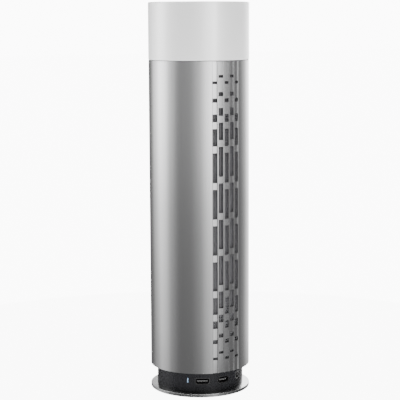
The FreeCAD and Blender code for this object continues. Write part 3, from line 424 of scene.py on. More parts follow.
def plainMaterial(name, color, roughness, metallic=0.0):
    material = bpy.data.materials.new(name)
    material.use_nodes = True
    shader = material.node_tree.nodes["Principled BSDF"]
    shader.inputs["Base Color"].default_value = (*color, 1)
    shader.inputs["Roughness"].default_value = roughness
    shader.inputs["Metallic"].default_value = metallic
    return material


class Finish:
    # A procedural material on object coordinates, in metres.
    def __init__(self, name, color, roughness, metallic=0.0, **shaderValues):
        self.material = plainMaterial(name, color, roughness, metallic)
        self.color = color
        self.roughness = roughness
        self.tree = self.material.node_tree
        self.shader = self.tree.nodes["Principled BSDF"]
        for title, value in shaderValues.items():
            self.shader.inputs[title.replace("_", " ")].default_value = value
        self.place = self.tree.nodes.new("ShaderNodeTexCoord").outputs["Object"]
        self.bumps = []

    def add(self, kind, inputs, output=0, **settings):
        return addNode(self.tree, kind, inputs, output, **settings)

    def noise(self, scale, detail=3.0, stretch=(1, 1, 1), roughness=0.5):
        where = self.add("ShaderNodeMapping", {"Vector": self.place, "Scale": stretch})
        return self.add("ShaderNodeTexNoise", {"Vector": where, "Scale": scale, "Detail": detail,
                                               "Roughness": roughness})

    def varyColor(self, pattern, low, high):
        # Multiplies the colour between two shades along a pattern.
        ramp = self.tree.nodes.new("ShaderNodeValToRGB")
        ramp.color_ramp.elements[0].position = 0.3
        ramp.color_ramp.elements[1].position = 0.7
        ramp.color_ramp.elements[0].color = (*[part * low for part in self.color], 1)
        ramp.color_ramp.elements[1].color = (*[part * high for part in self.color], 1)
        self.tree.links.new(pattern, ramp.inputs[0])
        self.tree.links.new(ramp.outputs[0], self.shader.inputs["Base Color"])

    def varyRoughness(self, pattern, spread):
        mapped = self.add("ShaderNodeMapRange", {"Value": pattern, "From Min": 0.3, "From Max": 0.7,
                                                 "To Min": self.roughness - spread,
                                                 "To Max": self.roughness + spread})
        self.tree.links.new(mapped, self.shader.inputs["Roughness"])

    def bump(self, pattern, height, strength=1.0):
        inputs = {"Height": pattern, "Distance": height, "Strength": strength}
        if self.bumps:
            inputs["Normal"] = self.bumps[-1]
        self.bumps.append(self.add("ShaderNodeBump", inputs))
        self.tree.links.new(self.bumps[-1], self.shader.inputs["Normal"])


def anodisedAluminium():
    finish = Finish("anodisedAluminium", (0.62, 0.62, 0.625), 0.24, 1.0)
    drawn = finish.noise(90, 4, (14, 14, 0.25))      # lines drawn along the tube
    grain = finish.noise(2600, 2)
    finish.varyColor(drawn, 0.985, 1.015)
    finish.varyRoughness(grain, 0.03)
    finish.bump(drawn, 0.00001, 0.25)
    finish.bump(grain, 0.000004, 0.3)
    return finish.material


def turnedAluminium():
    finish = Finish("turnedAluminium", (0.5, 0.5, 0.505), 0.24, 1.0)
    x, y, z = [finish.add("ShaderNodeSeparateXYZ", {"Vector": finish.place}, axis)
               for axis in range(3)]
    squares = [finish.add("ShaderNodeMath", {0: part, 1: part}, operation="MULTIPLY")
               for part in (x, y)]
    square = finish.add("ShaderNodeMath", dict(enumerate(squares)), operation="ADD")
    radius = finish.add("ShaderNodeMath", {0: square}, operation="SQRT")
    along = finish.add("ShaderNodeCombineXYZ", {0: radius, 1: z})
    rings = finish.add("ShaderNodeTexNoise", {"Vector": along, "Scale": 2200.0, "Detail": 2.0})
    finish.varyRoughness(rings, 0.04)
    finish.bump(rings, 0.000006, 0.35)
    return finish.material


def satinPlastic(name, color, roughness, grainSize=1800, grainDepth=0.000006, **shaderValues):
    finish = Finish(name, color, roughness, **shaderValues)
    grain = finish.noise(grainSize, 2)
    cloud = finish.noise(35, 3)
    finish.varyColor(cloud, 0.985, 1.012)
    finish.varyRoughness(grain, 0.04)
    finish.bump(grain, grainDepth, 0.4)
    finish.bump(cloud, 0.00006, 0.2)
    return finish.material


def platedMetal(name, color, roughness, stretch=(1, 1, 1)):
    finish = Finish(name, color, roughness, 1.0)
    cloud = finish.noise(260, 3, stretch)
    finish.varyColor(cloud, 0.88, 1.06)
    finish.varyRoughness(cloud, 0.07)
    finish.bump(finish.noise(3000, 2), 0.000006, 0.4)
    return finish.material


def rubber(name, color):
    finish = Finish(name, color, 0.75)
    finish.varyColor(finish.noise(400, 4), 0.8, 1.25)
    finish.bump(finish.noise(2500, 3), 0.00002, 0.6)
    return finish.material


def solderResist():
    finish = Finish("solderResist", (0.025, 0.16, 0.07), 0.3)
    tracks = finish.add("ShaderNodeTexBrick", {"Vector": finish.place, "Scale": 160.0,
                                               "Mortar Size": 0.03, "Color1": (0.4, 0.4, 0.4, 1),
                                               "Color2": (0.55, 0.55, 0.55, 1),
                                               "Mortar": (1, 1, 1, 1)})
    finish.varyColor(tracks, 0.85, 1.9)
    finish.bump(tracks, 0.00003, 0.5)
    return finish.material


def glowingLens():
    finish = Finish("glowingLens", (0.1, 0.16, 0.24), 0.35, Emission_Color=(0.72, 0.88, 1.0, 1),
                    Emission_Strength=0.03)
    haze = finish.noise(900, 2)
    finish.varyColor(haze, 0.9, 1.05)
    finish.bump(haze, 0.00001, 0.3)
    return finish.material


finishes = {
    "sleeve_aluminium": anodisedAluminium(),
    "foot_metal": turnedAluminium(),
    "cap_white": satinPlastic("capWhite", (0.8, 0.8, 0.8), 0.22, IOR=2.3, Specular_IOR_Level=1.0),
    "button_white": satinPlastic("buttonWhite", (0.76, 0.76, 0.76), 0.42),
    "plinth_black": satinPlastic("plinthBlack", (0.006, 0.006, 0.007), 0.24, Specular_IOR_Level=0.18),
    "frame_black": satinPlastic("frameBlack", (0.03, 0.03, 0.03), 0.55, 900, 0.00002),
    "foot_rubber": rubber("footRubber", (0.03, 0.03, 0.03)),
    "lead_grey": rubber("leadGrey", (0.12, 0.12, 0.125)),
    "steel_zinc": platedMetal("zincPlate", (0.66, 0.65, 0.61), 0.32),
    "motor_steel": platedMetal("motorSteel", (0.5, 0.5, 0.51), 0.4, (1, 1, 6)),
    "bearing_bronze": platedMetal("sinteredBronze", (0.6, 0.4, 0.2), 0.45),
    # socket shells: metal darkened as painted shade, so the sockets sunk in the plinth look dark
    "socket_metal": platedMetal("socketMetalPaintedShade", (0.17, 0.17, 0.175), 0.42),
    "gear_plastic": satinPlastic("acetal", (0.8, 0.79, 0.74), 0.45, 1200),
    "impeller_grey": satinPlastic("impellerGrey", (0.1, 0.1, 0.105), 0.5, 1000),
    "screen_dark": satinPlastic("screenPaint", (0.062, 0.062, 0.066), 0.5, 1500),
    "socket_black": satinPlastic("socketBlack", (0.035, 0.035, 0.035), 0.5, 1500),
    "board_green": solderResist(),
    "light_lens": glowingLens(),
}
report("finishes are mixed")


def paintFrame():
    # Every carried-over piece gets the finish of its own slot.
    for part in frame["record"]["subparts"]:
        node = frame["nodes"][part["node"]]
        for slot in node.material_slots:
            slot.material = finishes[part["material_slot"]]


# Outer sleeve: a turned tube whose outside is pressed in along its flutes and cut by slots

sleeveSettings = {
    "wall": 3.2 * mm,
    "seatWall": 2.4 * mm,
    "seatHeight": 6.8 * mm,
    "edge": 0.3 * mm,
    "stations": 2160,
    "fluteCount": 5,
    "flutePitch": 7.35,       # degrees
    "fluteWidth": 5.4 * mm,
    "fluteDepth": 0.95 * mm,
    "fluteSoft": 0.6 * mm,
    "slotWidth": 4.6 * mm,
    "slotStagger": 5.9 * mm,
    "slotMargin": 13.0 * mm,
    "slotWeb": 6.4 * mm,
    # from the long slots outwards: length of each shorter slot and the web after it
    "tail": ((16.5 * mm, 6.4 * mm), (7.4 * mm, 11.1 * mm), (3.9 * mm, 13.4 * mm), (2.6 * mm, 0)),
}


def sleeveTree():
    tree = Tree("flutedSleeve", {
        "Stations": "Int", "Profile Points": "Int", "Radius": "Float", "Wall": "Float",
        "Flute Count": "Int", "Flute Pitch": "Float", "Flute Width": "Float",
        "Flute Depth": "Float", "Flute Soft": "Float", "Slot Width": "Float",
        "Slot Stagger": "Float", "Slot Guide": "Object", "Material": "Material"})
    radius = tree.given("Radius")
    count = tree.given("Flute Count")
    pitch = tree.given("Flute Pitch")
    stations = tree.given("Stations")
    rows = tree.math("ADD", tree.given("Profile Points"), 1)
    sheetMesh = tree.add("GeometryNodeMeshGrid", {
        "Vertices X": tree.math("ADD", stations, 1), "Vertices Y": rows})
    index = tree.add("GeometryNodeInputIndex", {})
    station = tree.math("FLOOR", tree.math("DIVIDE", tree.math("ADD", index, 0.5), rows))
    row = tree.math("SUBTRACT", index, tree.math("MULTIPLY", station, rows))
    wrapped = tree.math("FLOORED_MODULO", row, tree.given("Profile Points"))
    here = tree.add("GeometryNodeInputPosition", {})
    corner = tree.add("GeometryNodeSampleIndex", {"Geometry": tree.geometry, "Value": here,
                                                  "Index": wrapped}, data_type="FLOAT_VECTOR")
    cornerRadius = tree.add("ShaderNodeSeparateXYZ", {0: corner}, 0)
    cornerHeight = tree.add("ShaderNodeSeparateXYZ", {0: corner}, 2)
    angle = tree.math("DIVIDE", tree.math("MULTIPLY", station, 2 * math.pi), stations)
    # Angle from the nearer of the two bands, counted in flutes from the band's middle.
    across = tree.math("COSINE", angle)
    along = tree.math("ABSOLUTE", tree.math("SINE", angle))
    flute = tree.math("DIVIDE", tree.math("ARCTAN2", across, along), pitch)
    last = tree.math("DIVIDE", tree.math("SUBTRACT", count, 1), 2)
    nearest = tree.math("MINIMUM", tree.math("MAXIMUM", tree.math("ROUND", flute),
                                             tree.math("MULTIPLY", last, -1)), last)
    offset = tree.math("ABSOLUTE", tree.math("SUBTRACT", flute, nearest))
    reach = tree.math("MULTIPLY", tree.math("MULTIPLY", offset, pitch), radius)
    half = tree.math("DIVIDE", tree.given("Flute Width"), 2)
    soft = tree.given("Flute Soft")
    pressed = tree.add("ShaderNodeMapRange", {
        "Value": reach, "From Min": tree.math("SUBTRACT", half, soft), "From Max": half,
        "To Min": tree.given("Flute Depth"), "To Max": 0.0}, interpolation_type="SMOOTHSTEP")
    outside = tree.math("GREATER_THAN", cornerRadius,
                        tree.math("SUBTRACT", radius, tree.math("MULTIPLY",
                                                                tree.given("Wall"), 0.5)))
    place = tree.math("SUBTRACT", cornerRadius, tree.math("MULTIPLY", pressed, outside))
    tube = tree.add("GeometryNodeSetPosition", {
        "Geometry": sheetMesh, "Position": tree.vector(
            tree.math("MULTIPLY", place, across),
            tree.math("MULTIPLY", place, tree.math("SINE", angle)), cornerHeight)})
    tube = tree.add("GeometryNodeMergeByDistance", {"Geometry": tube, "Distance": 0.000001})
    # One column of slots, then every column of both bands.
    guide = tree.add("GeometryNodeObjectInfo", {"Object": tree.given("Slot Guide")}, "Geometry")
    guide = tree.add("GeometryNodeSetPosition", {"Geometry": guide,
                                                 "Offset": tree.vector(0.0, radius, 0.0)})
    long = tree.add("GeometryNodeInputNamedAttribute", {"Name": "slotLength"}, data_type="FLOAT")
    cutter = tree.add("GeometryNodeMeshCube", {"Size": (1, 1, 1)})
    column = tree.add("GeometryNodeInstanceOnPoints", {
        "Points": guide, "Instance": cutter,
        "Scale": tree.vector(tree.given("Slot Width"), tree.math("MULTIPLY", tree.given("Wall"), 3),
                             long)})
    column = tree.add("GeometryNodeRealizeInstances", {"Geometry": column})
    line = tree.add("GeometryNodeMeshLine", {"Count": count, "Offset": (0, 0, 0)})
    number = tree.add("GeometryNodeInputIndex", {})
    odd = tree.math("FLOORED_MODULO", number, 2)
    lift = tree.math("MULTIPLY", tree.math("SUBTRACT", odd, 0.5), tree.given("Slot Stagger"))
    line = tree.add("GeometryNodeSetPosition", {"Geometry": line,
                                                "Position": tree.vector(0.0, 0.0, lift)})
    turn = tree.math("MULTIPLY", tree.math("SUBTRACT", number, last), pitch)
    band = tree.add("GeometryNodeInstanceOnPoints", {
        "Points": line, "Instance": column, "Rotation": tree.vector(0.0, 0.0, turn)})
    band = tree.add("GeometryNodeRealizeInstances", {"Geometry": band})
    front = tree.add("GeometryNodeTransform", {"Geometry": band, "Rotation": (0, 0, math.pi)})
    cutters = tree.join(band, front)
    cut = tree.add("GeometryNodeMeshBoolean", {"Mesh 1": tube, "Mesh 2": cutters},
                   operation="DIFFERENCE", solver="MANIFOLD")
    return tree.finish(cut)


def slotPlan(low, high):
    # Middle height and length of each slot in a column: four long ones, shorter to both ends.
    plan = sleeveSettings
    tail = sum(length + web for length, web in plan["tail"]) + plan["slotWeb"]
    column = high - low - plan["slotMargin"] * 2 - plan["slotStagger"]
    longSlot = (column - tail * 2 - plan["slotWeb"] * 3) / 4
    steps = [(longSlot, plan["slotWeb"])] * 2 + list(plan["tail"])
    middle = (high + low) / 2
    slots = []
    for side in (-1, 1):
        near = plan["slotWeb"] / 2
        for length, web in steps:
            slots.append((middle + side * (near + length / 2), length))
            near += length + web
    return slots


def makeSleeve():
    plan = sleeveSettings
    low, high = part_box("outer_sleeve")
    radius = halfWidth("outer_sleeve")
    seat = radius - plan["seatWall"]
    inside = radius - plan["wall"]
    edge = plan["edge"]
    corners = [(seat, low.z, edge), (radius, low.z, edge), (radius, high.z, edge),
               (inside, high.z, edge), (inside, low.z + plan["seatHeight"], 0),
               (seat, low.z + plan["seatHeight"], 0)]
    loop = roundedLoop(corners, 2)
    profile = pointMesh("sleeveProfile", [(point.x, 0, point.y) for point in loop])
    slots = slotPlan(low.z, high.z)
    guide = newObject("slotGuide", pointMesh(
        "slotGuide", [(0, 0, height) for height, length in slots],
        slotLength=[length for height, length in slots]))
    tree = sleeveTree()
    sleeve = grow("sleeve", tree, profile, {
        "Stations": plan["stations"], "Profile Points": len(loop), "Radius": radius,
        "Wall": plan["wall"], "Flute Count": plan["fluteCount"],
        "Flute Pitch": math.radians(plan["flutePitch"]), "Flute Width": plan["fluteWidth"],
        "Flute Depth": plan["fluteDepth"], "Flute Soft": plan["fluteSoft"],
        "Slot Width": plan["slotWidth"], "Slot Stagger": plan["slotStagger"],
        "Slot Guide": guide, "Material": finishes["sleeve_aluminium"]})
    bpy.data.objects.remove(guide)
    finishPiece(sleeve, "tower", "sleeve_aluminium", "outer_sleeve")


# Perforated screens behind the slots, rolled to the tube

screenSettings = {
    "columns": 14,
    "rows": 112,
    "holeShare": 0.56,
    "thickness": 0.8 * mm,
    "halfAngle": 22.0,
}


def screenTree():
    tree = Tree("perforatedScreen", {
        "Columns": "Int", "Rows": "Int", "Hole Share": "Float", "Outer Radius": "Float",
        "Half Angle": "Float", "Direction": "Float", "Low": "Float", "High": "Float",
        "Thickness": "Float", "Material": "Material"})
    columns, rows = tree.given("Columns"), tree.given("Rows")
    inner = tree.add("GeometryNodeInputNamedAttribute", {"Name": "inner"}, data_type="FLOAT")
    share = tree.math("MULTIPLY_ADD", inner,
                      tree.math("SUBTRACT", tree.given("Hole Share"), 1.0), 1.0)
    here = tree.add("GeometryNodeInputPosition", {})
    cell = tree.add("GeometryNodeSetPosition", {
        "Geometry": tree.geometry,
        "Position": tree.add("ShaderNodeVectorMath", {0: here, "Scale": share},
                             operation="SCALE")})
    grid = tree.add("GeometryNodeMeshGrid", {
        "Size X": tree.math("SUBTRACT", columns, 1), "Size Y": tree.math("SUBTRACT", rows, 1),
        "Vertices X": columns, "Vertices Y": rows})
    flat = tree.add("GeometryNodeInstanceOnPoints", {"Points": grid, "Instance": cell})
    flat = tree.add("GeometryNodeRealizeInstances", {"Geometry": flat})
    flat = tree.add("GeometryNodeMergeByDistance", {"Geometry": flat, "Distance": 0.001})
    across = tree.add("ShaderNodeSeparateXYZ", {0: here}, 0)
    up = tree.add("ShaderNodeSeparateXYZ", {0: here}, 1)
    turn = tree.math("MULTIPLY_ADD", tree.math("DIVIDE", across, columns),
                     tree.math("MULTIPLY", tree.given("Half Angle"), 2), tree.given("Direction"))
    share = tree.math("ADD", tree.math("DIVIDE", up, rows), 0.5)
    height = tree.math("MULTIPLY_ADD", share, tree.math("SUBTRACT", tree.given("High"),
                                                        tree.given("Low")), tree.given("Low"))
    radius = tree.given("Outer Radius")
    rolled = tree.add("GeometryNodeSetPosition", {
        "Geometry": flat, "Position": tree.vector(
            tree.math("MULTIPLY", radius, tree.math("COSINE", turn)),
            tree.math("MULTIPLY", radius, tree.math("SINE", turn)), height)})
    inside = tree.add("GeometryNodeExtrudeMesh", {
        "Mesh": rolled, "Offset Scale": tree.math("MULTIPLY", tree.given("Thickness"), -1.0),
        "Individual": False})
    back = tree.add("GeometryNodeFlipFaces", {"Mesh": inside})
    solid = tree.join(rolled, back)
    solid = tree.add("GeometryNodeMergeByDistance", {"Geometry": solid, "Distance": 0.000001})
    return tree.finish(solid)


def makeScreens():
    plan = screenSettings
    ring = [(1, 0), (1, 1), (0, 1), (-1, 1), (-1, 0), (-1, -1), (0, -1), (1, -1)]
    cell = [(x / 2, y / 2, 0) for x, y in ring]
    cell += [(x / 2 / math.hypot(x, y), y / 2 / math.hypot(x, y), 0) for x, y in ring]
    faces = [(8 + step, step, (step + 1) % 8, 8 + (step + 1) % 8) for step in range(8)]
    tree = screenTree()
    for node, name, direction in (("inlet_screen", "inletScreen", 90),
                                  ("outlet_screen", "outletScreen", 270)):
        low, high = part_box(node)
        guide = bpy.data.meshes.new(name)
        guide.from_pydata(cell, [], faces)
        guide.attributes.new("inner", "FLOAT", "POINT").data.foreach_set(
            "value", [0.0] * 8 + [1.0] * 8)
        screen = grow(name, tree, guide, {
            "Columns": plan["columns"], "Rows": plan["rows"], "Hole Share": plan["holeShare"],
            "Outer Radius": max(abs(low.y), abs(high.y)),
            "Half Angle": math.radians(plan["halfAngle"]), "Direction": math.radians(direction),
            "Low": low.z, "High": high.z, "Thickness": plan["thickness"],
            "Material": finishes["screen_dark"]})
        finishPiece(screen, "tower", "screen_dark", node)


# Impeller sections: a drum of bent blades that ends in a ring

impellerSettings = {
    "bladeCount": 24,
    "bladeDepth": 6.5 * mm,
    "bladeThick": 0.9 * mm,
    "bladeThin": 0.25,       # share of the thickness that the blade's edges keep
    "bladePhase": 0.15,      # where along a half wave the thickness starts and ends
    "tipGap": 0.15 * mm,
    "bladeLean": 26.0,       # degrees that the camber turns from root to tip
    "camberSteps": 6,
    "ringHeight": 1.5 * mm,
    "ringWidth": 7.8 * mm,
    "ringSides": 96,
}


def impellerTree():
    tree = Tree("impellerSection", {
        "Blade Count": "Int", "Outer Radius": "Float", "Bottom": "Float", "Top": "Float",
        "Ring Height": "Float", "Ring Width": "Float", "Material": "Material"})
    ringLow = tree.math("SUBTRACT", tree.given("Top"), tree.given("Ring Height"))
    bladeTop = tree.math("ADD", ringLow, tree.math("MULTIPLY", tree.given("Ring Height"), 0.3))
    path = tree.add("GeometryNodeCurvePrimitiveLine", {
        "Start": tree.vector(0.0, 0.0, tree.given("Bottom")),
        "End": tree.vector(0.0, 0.0, bladeTop)})
    outline = tree.add("GeometryNodeMeshToCurve", {"Mesh": tree.geometry})
    blade = tree.add("GeometryNodeCurveToMesh", {"Curve": path, "Profile Curve": outline,
                                                 "Fill Caps": True})
    blade = tree.add("GeometryNodeFlipFaces", {"Mesh": blade})
    line = tree.add("GeometryNodeMeshLine", {"Count": tree.given("Blade Count"),
                                             "Offset": (0, 0, 0)})
    number = tree.add("GeometryNodeInputIndex", {})
    turn = tree.math("DIVIDE", tree.math("MULTIPLY", number, 2 * math.pi),
                     tree.given("Blade Count"))
    blades = tree.add("GeometryNodeInstanceOnPoints", {
        "Points": line, "Instance": blade, "Rotation": tree.vector(0.0, 0.0, turn)})
    rims = []
    for inset in (0.0, tree.given("Ring Width")):
        drum = tree.add("GeometryNodeMeshCylinder", {
            "Vertices": impellerSettings["ringSides"], "Depth": tree.given("Ring Height"),
            "Radius": tree.math("SUBTRACT", tree.given("Outer Radius"), inset)})
        if rims:
            drum = tree.add("GeometryNodeTransform", {"Geometry": drum, "Scale": (1, 1, 2)})
        rims.append(drum)
    ring = tree.add("GeometryNodeMeshBoolean", {"Mesh 1": rims[0], "Mesh 2": rims[1]},
                    operation="DIFFERENCE", solver="MANIFOLD")
    middle = tree.math("ADD", ringLow, tree.math("MULTIPLY", tree.given("Ring Height"), 0.5))
    ring = tree.add("GeometryNodeTransform", {"Geometry": ring,
                                              "Translation": tree.vector(0.0, 0.0, middle)})
    return tree.finish(tree.join(blades, ring))


def makeImpeller():
    plan = impellerSettings
    tree = impellerTree()
    steps = plan["camberSteps"]
    thin, phase = plan["bladeThin"], plan["bladePhase"]
    for number in range(1, 5):
        node = "impeller_section_%d" % number
        low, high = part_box(node)
        outer = halfWidth(node) - plan["tipGap"]
        middleLine = []
        for step in range(steps + 1):
            share = step / steps
            lean = math.radians(plan["bladeLean"]) * share ** 2 / 2
            radius = outer - plan["bladeDepth"] * (1 - share)
            full = math.sin(math.pi * (phase + share * (1 - 2 * phase)))
            middleLine.append((radius, lean, thin + (1 - thin) * full))
        loop = [(radius * math.cos(lean), radius * math.sin(lean) + plan["bladeThick"] / 2 * full)
                for radius, lean, full in middleLine]
        loop += [(radius * math.cos(lean), radius * math.sin(lean) - plan["bladeThick"] / 2 * full)
                 for radius, lean, full in reversed(middleLine)]
        edges = [(index, (index + 1) % len(loop)) for index in range(len(loop))]
        guide = pointMesh("bladeOutline", [(x, y, 0) for x, y in loop], edges)
        section = grow("impellerSection%d" % number, tree, guide, {
            "Blade Count": plan["bladeCount"], "Outer Radius": halfWidth(node),
            "Bottom": low.z, "Top": high.z, "Ring Height": plan["ringHeight"],
            "Ring Width": plan["ringWidth"], "Material": finishes["impeller_grey"]}, 50)
        finishPiece(section, "impeller", "impeller_grey", node)


# Screws with a hexagon recess, one tree for every group

screwSettings = {
    "headSides": 48,
    "shankSides": 32,
    "headTaper": 0.84,
    "headLap": 0.1,          # share of the head that the shank runs into
    "recessShare": 0.5,      # of the head's radius across the hexagon's corners
    "recessDepth": 0.65,     # of the head's height
    # node: body, angles, head radius, head height, shank radius, whether the head is below
    "groups": {
        "plinth_screws": ("base", (20, 160, 200, 340), 2.6 * mm, 1.6 * mm, 1.4 * mm, True),
        "cap_screws": ("tower", (0, 120, 240), 2.6 * mm, 1.6 * mm, 1.4 * mm, True),
        "board_screws": ("tower", (90, 210, 330), 2.1 * mm, 1.6 * mm, 1.2 * mm, True),
        "motor_screws": ("tower", (90, 210, 330), 2.1 * mm, 1.6 * mm, 1.2 * mm, False),
        "tie_rods": ("tower", (28, 152, 208, 332), 2.7 * mm, 1.6 * mm, 1.5 * mm, True),
    },
}


def screwTree():
    plan = screwSettings
    tree = Tree("socketScrew", {
        "Head Radius": "Float", "Head Height": "Float", "Shank Radius": "Float",
        "Length": "Float", "Recess Share": "Float", "Recess Depth": "Float",
        "Turned Over": "Float", "Material": "Material"})
    radius, tall = tree.given("Head Radius"), tree.given("Head Height")
    head = tree.add("GeometryNodeMeshCone", {
        "Vertices": plan["headSides"], "Radius Top": radius,
        "Radius Bottom": tree.math("MULTIPLY", radius, plan["headTaper"]), "Depth": tall})
    recess = tree.add("GeometryNodeMeshCylinder", {
        "Vertices": 6, "Radius": tree.math("MULTIPLY", radius, tree.given("Recess Share")),
        "Depth": tree.math("MULTIPLY", tree.math("MULTIPLY", tall, tree.given("Recess Depth")),
                           2.0)})
    head = tree.add("GeometryNodeMeshBoolean", {"Mesh 1": head, "Mesh 2": recess},
                    operation="DIFFERENCE", solver="EXACT")
    lap = tree.math("MULTIPLY", tall, plan["headLap"])
    shankLength = tree.math("ADD", tree.math("SUBTRACT", tree.given("Length"), tall), lap)
    shank = tree.add("GeometryNodeMeshCylinder", {
        "Vertices": plan["shankSides"], "Radius": tree.given("Shank Radius"),
        "Depth": shankLength})
    middle = tree.math("ADD", tree.math("SUBTRACT", tall, lap),
                       tree.math("MULTIPLY", shankLength, 0.5))
    shank = tree.add("GeometryNodeTransform", {"Geometry": shank,
                                               "Translation": tree.vector(0.0, 0.0, middle)})
    screw = tree.add("GeometryNodeMeshBoolean", {"Mesh 2": tree.join(head, shank)},
                     operation="UNION", solver="EXACT")
    flip = tree.vector(tree.math("MULTIPLY", tree.given("Turned Over"), math.pi), 0.0, 0.0)
    placed = tree.add("GeometryNodeInstanceOnPoints", {
        "Points": tree.geometry, "Instance": screw, "Rotation": flip})
    return tree.finish(placed)


def makeScrews():
    plan = screwSettings
    tree = screwTree()
    for node, (body, angles, head, tall, shank, below) in plan["groups"].items():
        low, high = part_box(node)
        reach = max(abs(math.sin(math.radians(angle))) for angle in angles)
        ring = (high.y - head) / reach
        points = [(ring * math.cos(math.radians(angle)), ring * math.sin(math.radians(angle)),
                   low.z if below else high.z) for angle in angles]
        screws = grow(camelName(node), tree, pointMesh(node, points), {
            "Head Radius": head, "Head Height": tall, "Shank Radius": shank,
            "Length": high.z - low.z, "Recess Share": plan["recessShare"],
            "Recess Depth": plan["recessDepth"], "Turned Over": 0.0 if below else 1.0,
            "Material": finishes["steel_zinc"]})
        finishPiece(screws, body, "steel_zinc", node)


def camelName(node):
    words = node.split("_")
    return words[0] + "".join(word.capitalize() for word in words[1:])


# Cap: a deep cup with a soft top edge, a hole for the button, posts and pillars inside

capSettings = {
    "segments": 384,
    "postSegments": 40,
    "seam": 0.5 * mm,
    "wall": 2.5 * mm,
    "topEdge": 1.0 * mm,
    "lowEdge": 0.35 * mm,
    "fineEdge": 0.2 * mm,
    "insideEdge": 1.5 * mm,
    "guideEdge": 0.5 * mm,
    "holeGap": 0.3 * mm,
    "buttonRadius": 9.0 * mm,
    "buttonFlange": 1.5 * mm,
    "guideWall": 1.5 * mm,
    "guideDepth": 5.5 * mm,
    "postRing": 39.0 * mm,
    "postRadius": 3.0 * mm,
    "postEdge": 0.25 * mm,
    "postAngles": (0, 120, 240),
    "pillarRing": 28.0 * mm,
    "pillarRadius": 2.6 * mm,
    "pillarAngles": (90, 210, 330),
    "pillarHoleShare": 0.85,
    "screwHole": 1.5 * mm,
}


def postMesh(radius, hole, low, high, across, angle):
    plan = capSettings
    mesh = latheMesh("post", [(hole, low, 0), (radius, low, plan["postEdge"]), (radius, high, 0),
                              (hole, high, 0)], plan["postSegments"], 2)
    way = math.radians(angle)
    mesh.transform(Matrix.Translation((across * math.cos(way), across * math.sin(way), 0)))
    return mesh


def joinedMesh(name, meshes):
    work = bmesh.new()
    for mesh in meshes:
        work.from_mesh(mesh)
    mesh = bpy.data.meshes.new(name)
    work.to_mesh(mesh)
    work.free()
    return mesh


def makeCap():
    plan = capSettings
    low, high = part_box("top_cap")
    radius = halfWidth("top_cap")
    top = high.z
    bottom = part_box("outer_sleeve")[1].z + plan["seam"]
    ceiling = top - plan["wall"]
    inside = radius - plan["wall"]
    hole = plan["buttonRadius"] + plan["holeGap"]
    guideInside = hole + plan["buttonFlange"]
    guideOutside = guideInside + plan["guideWall"]
    guideLow = ceiling - plan["guideDepth"]
    shell = latheMesh("capShell", [
        (hole, top, plan["lowEdge"]), (radius, top, plan["topEdge"]),
        (radius, bottom, plan["lowEdge"]), (inside, bottom, plan["fineEdge"]),
        (inside, ceiling, plan["insideEdge"]), (guideOutside, ceiling, plan["guideEdge"]),
        (guideOutside, guideLow, plan["fineEdge"]), (guideInside, guideLow, plan["fineEdge"]),
        (guideInside, ceiling, 0), (hole, ceiling, 0)], plan["segments"])
    lap = plan["wall"] / 2
    parts = [shell]
    for angle in plan["postAngles"]:
        parts.append(postMesh(plan["postRadius"], plan["screwHole"], low.z, ceiling + lap,
                              plan["postRing"], angle))
    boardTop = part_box("control_board")[1].z
    pillarHole = plan["screwHole"] * plan["pillarHoleShare"]
    for angle in plan["pillarAngles"]:
        parts.append(postMesh(plan["pillarRadius"], pillarHole, boardTop, ceiling + lap,
                              plan["pillarRing"], angle))
    cap = newObject("topCap", joinedMesh("topCap", parts))
    shadeSmooth(cap.data)
    finishPiece(cap, "tower", "cap_white", "top_cap")


# Power button: a low dished top, a flange that its guide holds back, and a stem to the switch

buttonSettings = {
    "segments": 192,
    "stemRadius": 2.0 * mm,
    "stemEdge": 0.3 * mm,
    "flangeHeight": 1.2 * mm,
    "flangeEdge": 0.2 * mm,
    "topEdge": 0.4 * mm,
    "rimShare": 0.84,        # shares of the button's radius
    "dishShare": 0.7,
    "rimBlend": 0.8 * mm,
    "dishBlend": 3.0 * mm,
    "dishEdgeDepth": 0.35 * mm,
    "dishDepth": 0.4 * mm,
}


def makeButton():
    plan = buttonSettings
    low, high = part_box("power_button")
    flange = halfWidth("power_button")
    flangeTop = high.z - capSettings["wall"] - capSettings["holeGap"]
    flangeLow = flangeTop - plan["flangeHeight"]
    stem = plan["stemRadius"]
    radius = capSettings["buttonRadius"]
    mesh = latheMesh("powerButton", [
        (0, low.z, 0), (stem, low.z, plan["stemEdge"]), (stem, flangeLow, 0),
        (flange, flangeLow, plan["flangeEdge"]), (flange, flangeTop, plan["flangeEdge"]),
        (radius, flangeTop, 0), (radius, high.z, plan["topEdge"]),
        (radius * plan["rimShare"], high.z, plan["rimBlend"]),
        (radius * plan["dishShare"], high.z - plan["dishEdgeDepth"], plan["dishBlend"]),
        (0, high.z - plan["dishDepth"], 0)], plan["segments"])
    button = newObject("powerButton", mesh)
    shadeSmooth(mesh)
    finishPiece(button, "button", "button_white", "power_button")


# Button spring: an open coil of wire under the button

springSettings = {
    "wire": 0.5 * mm,
    "turns": 4,
    "stepsPerTurn": 32,
    "sides": 10,
    "travel": 0.8 * mm,
}


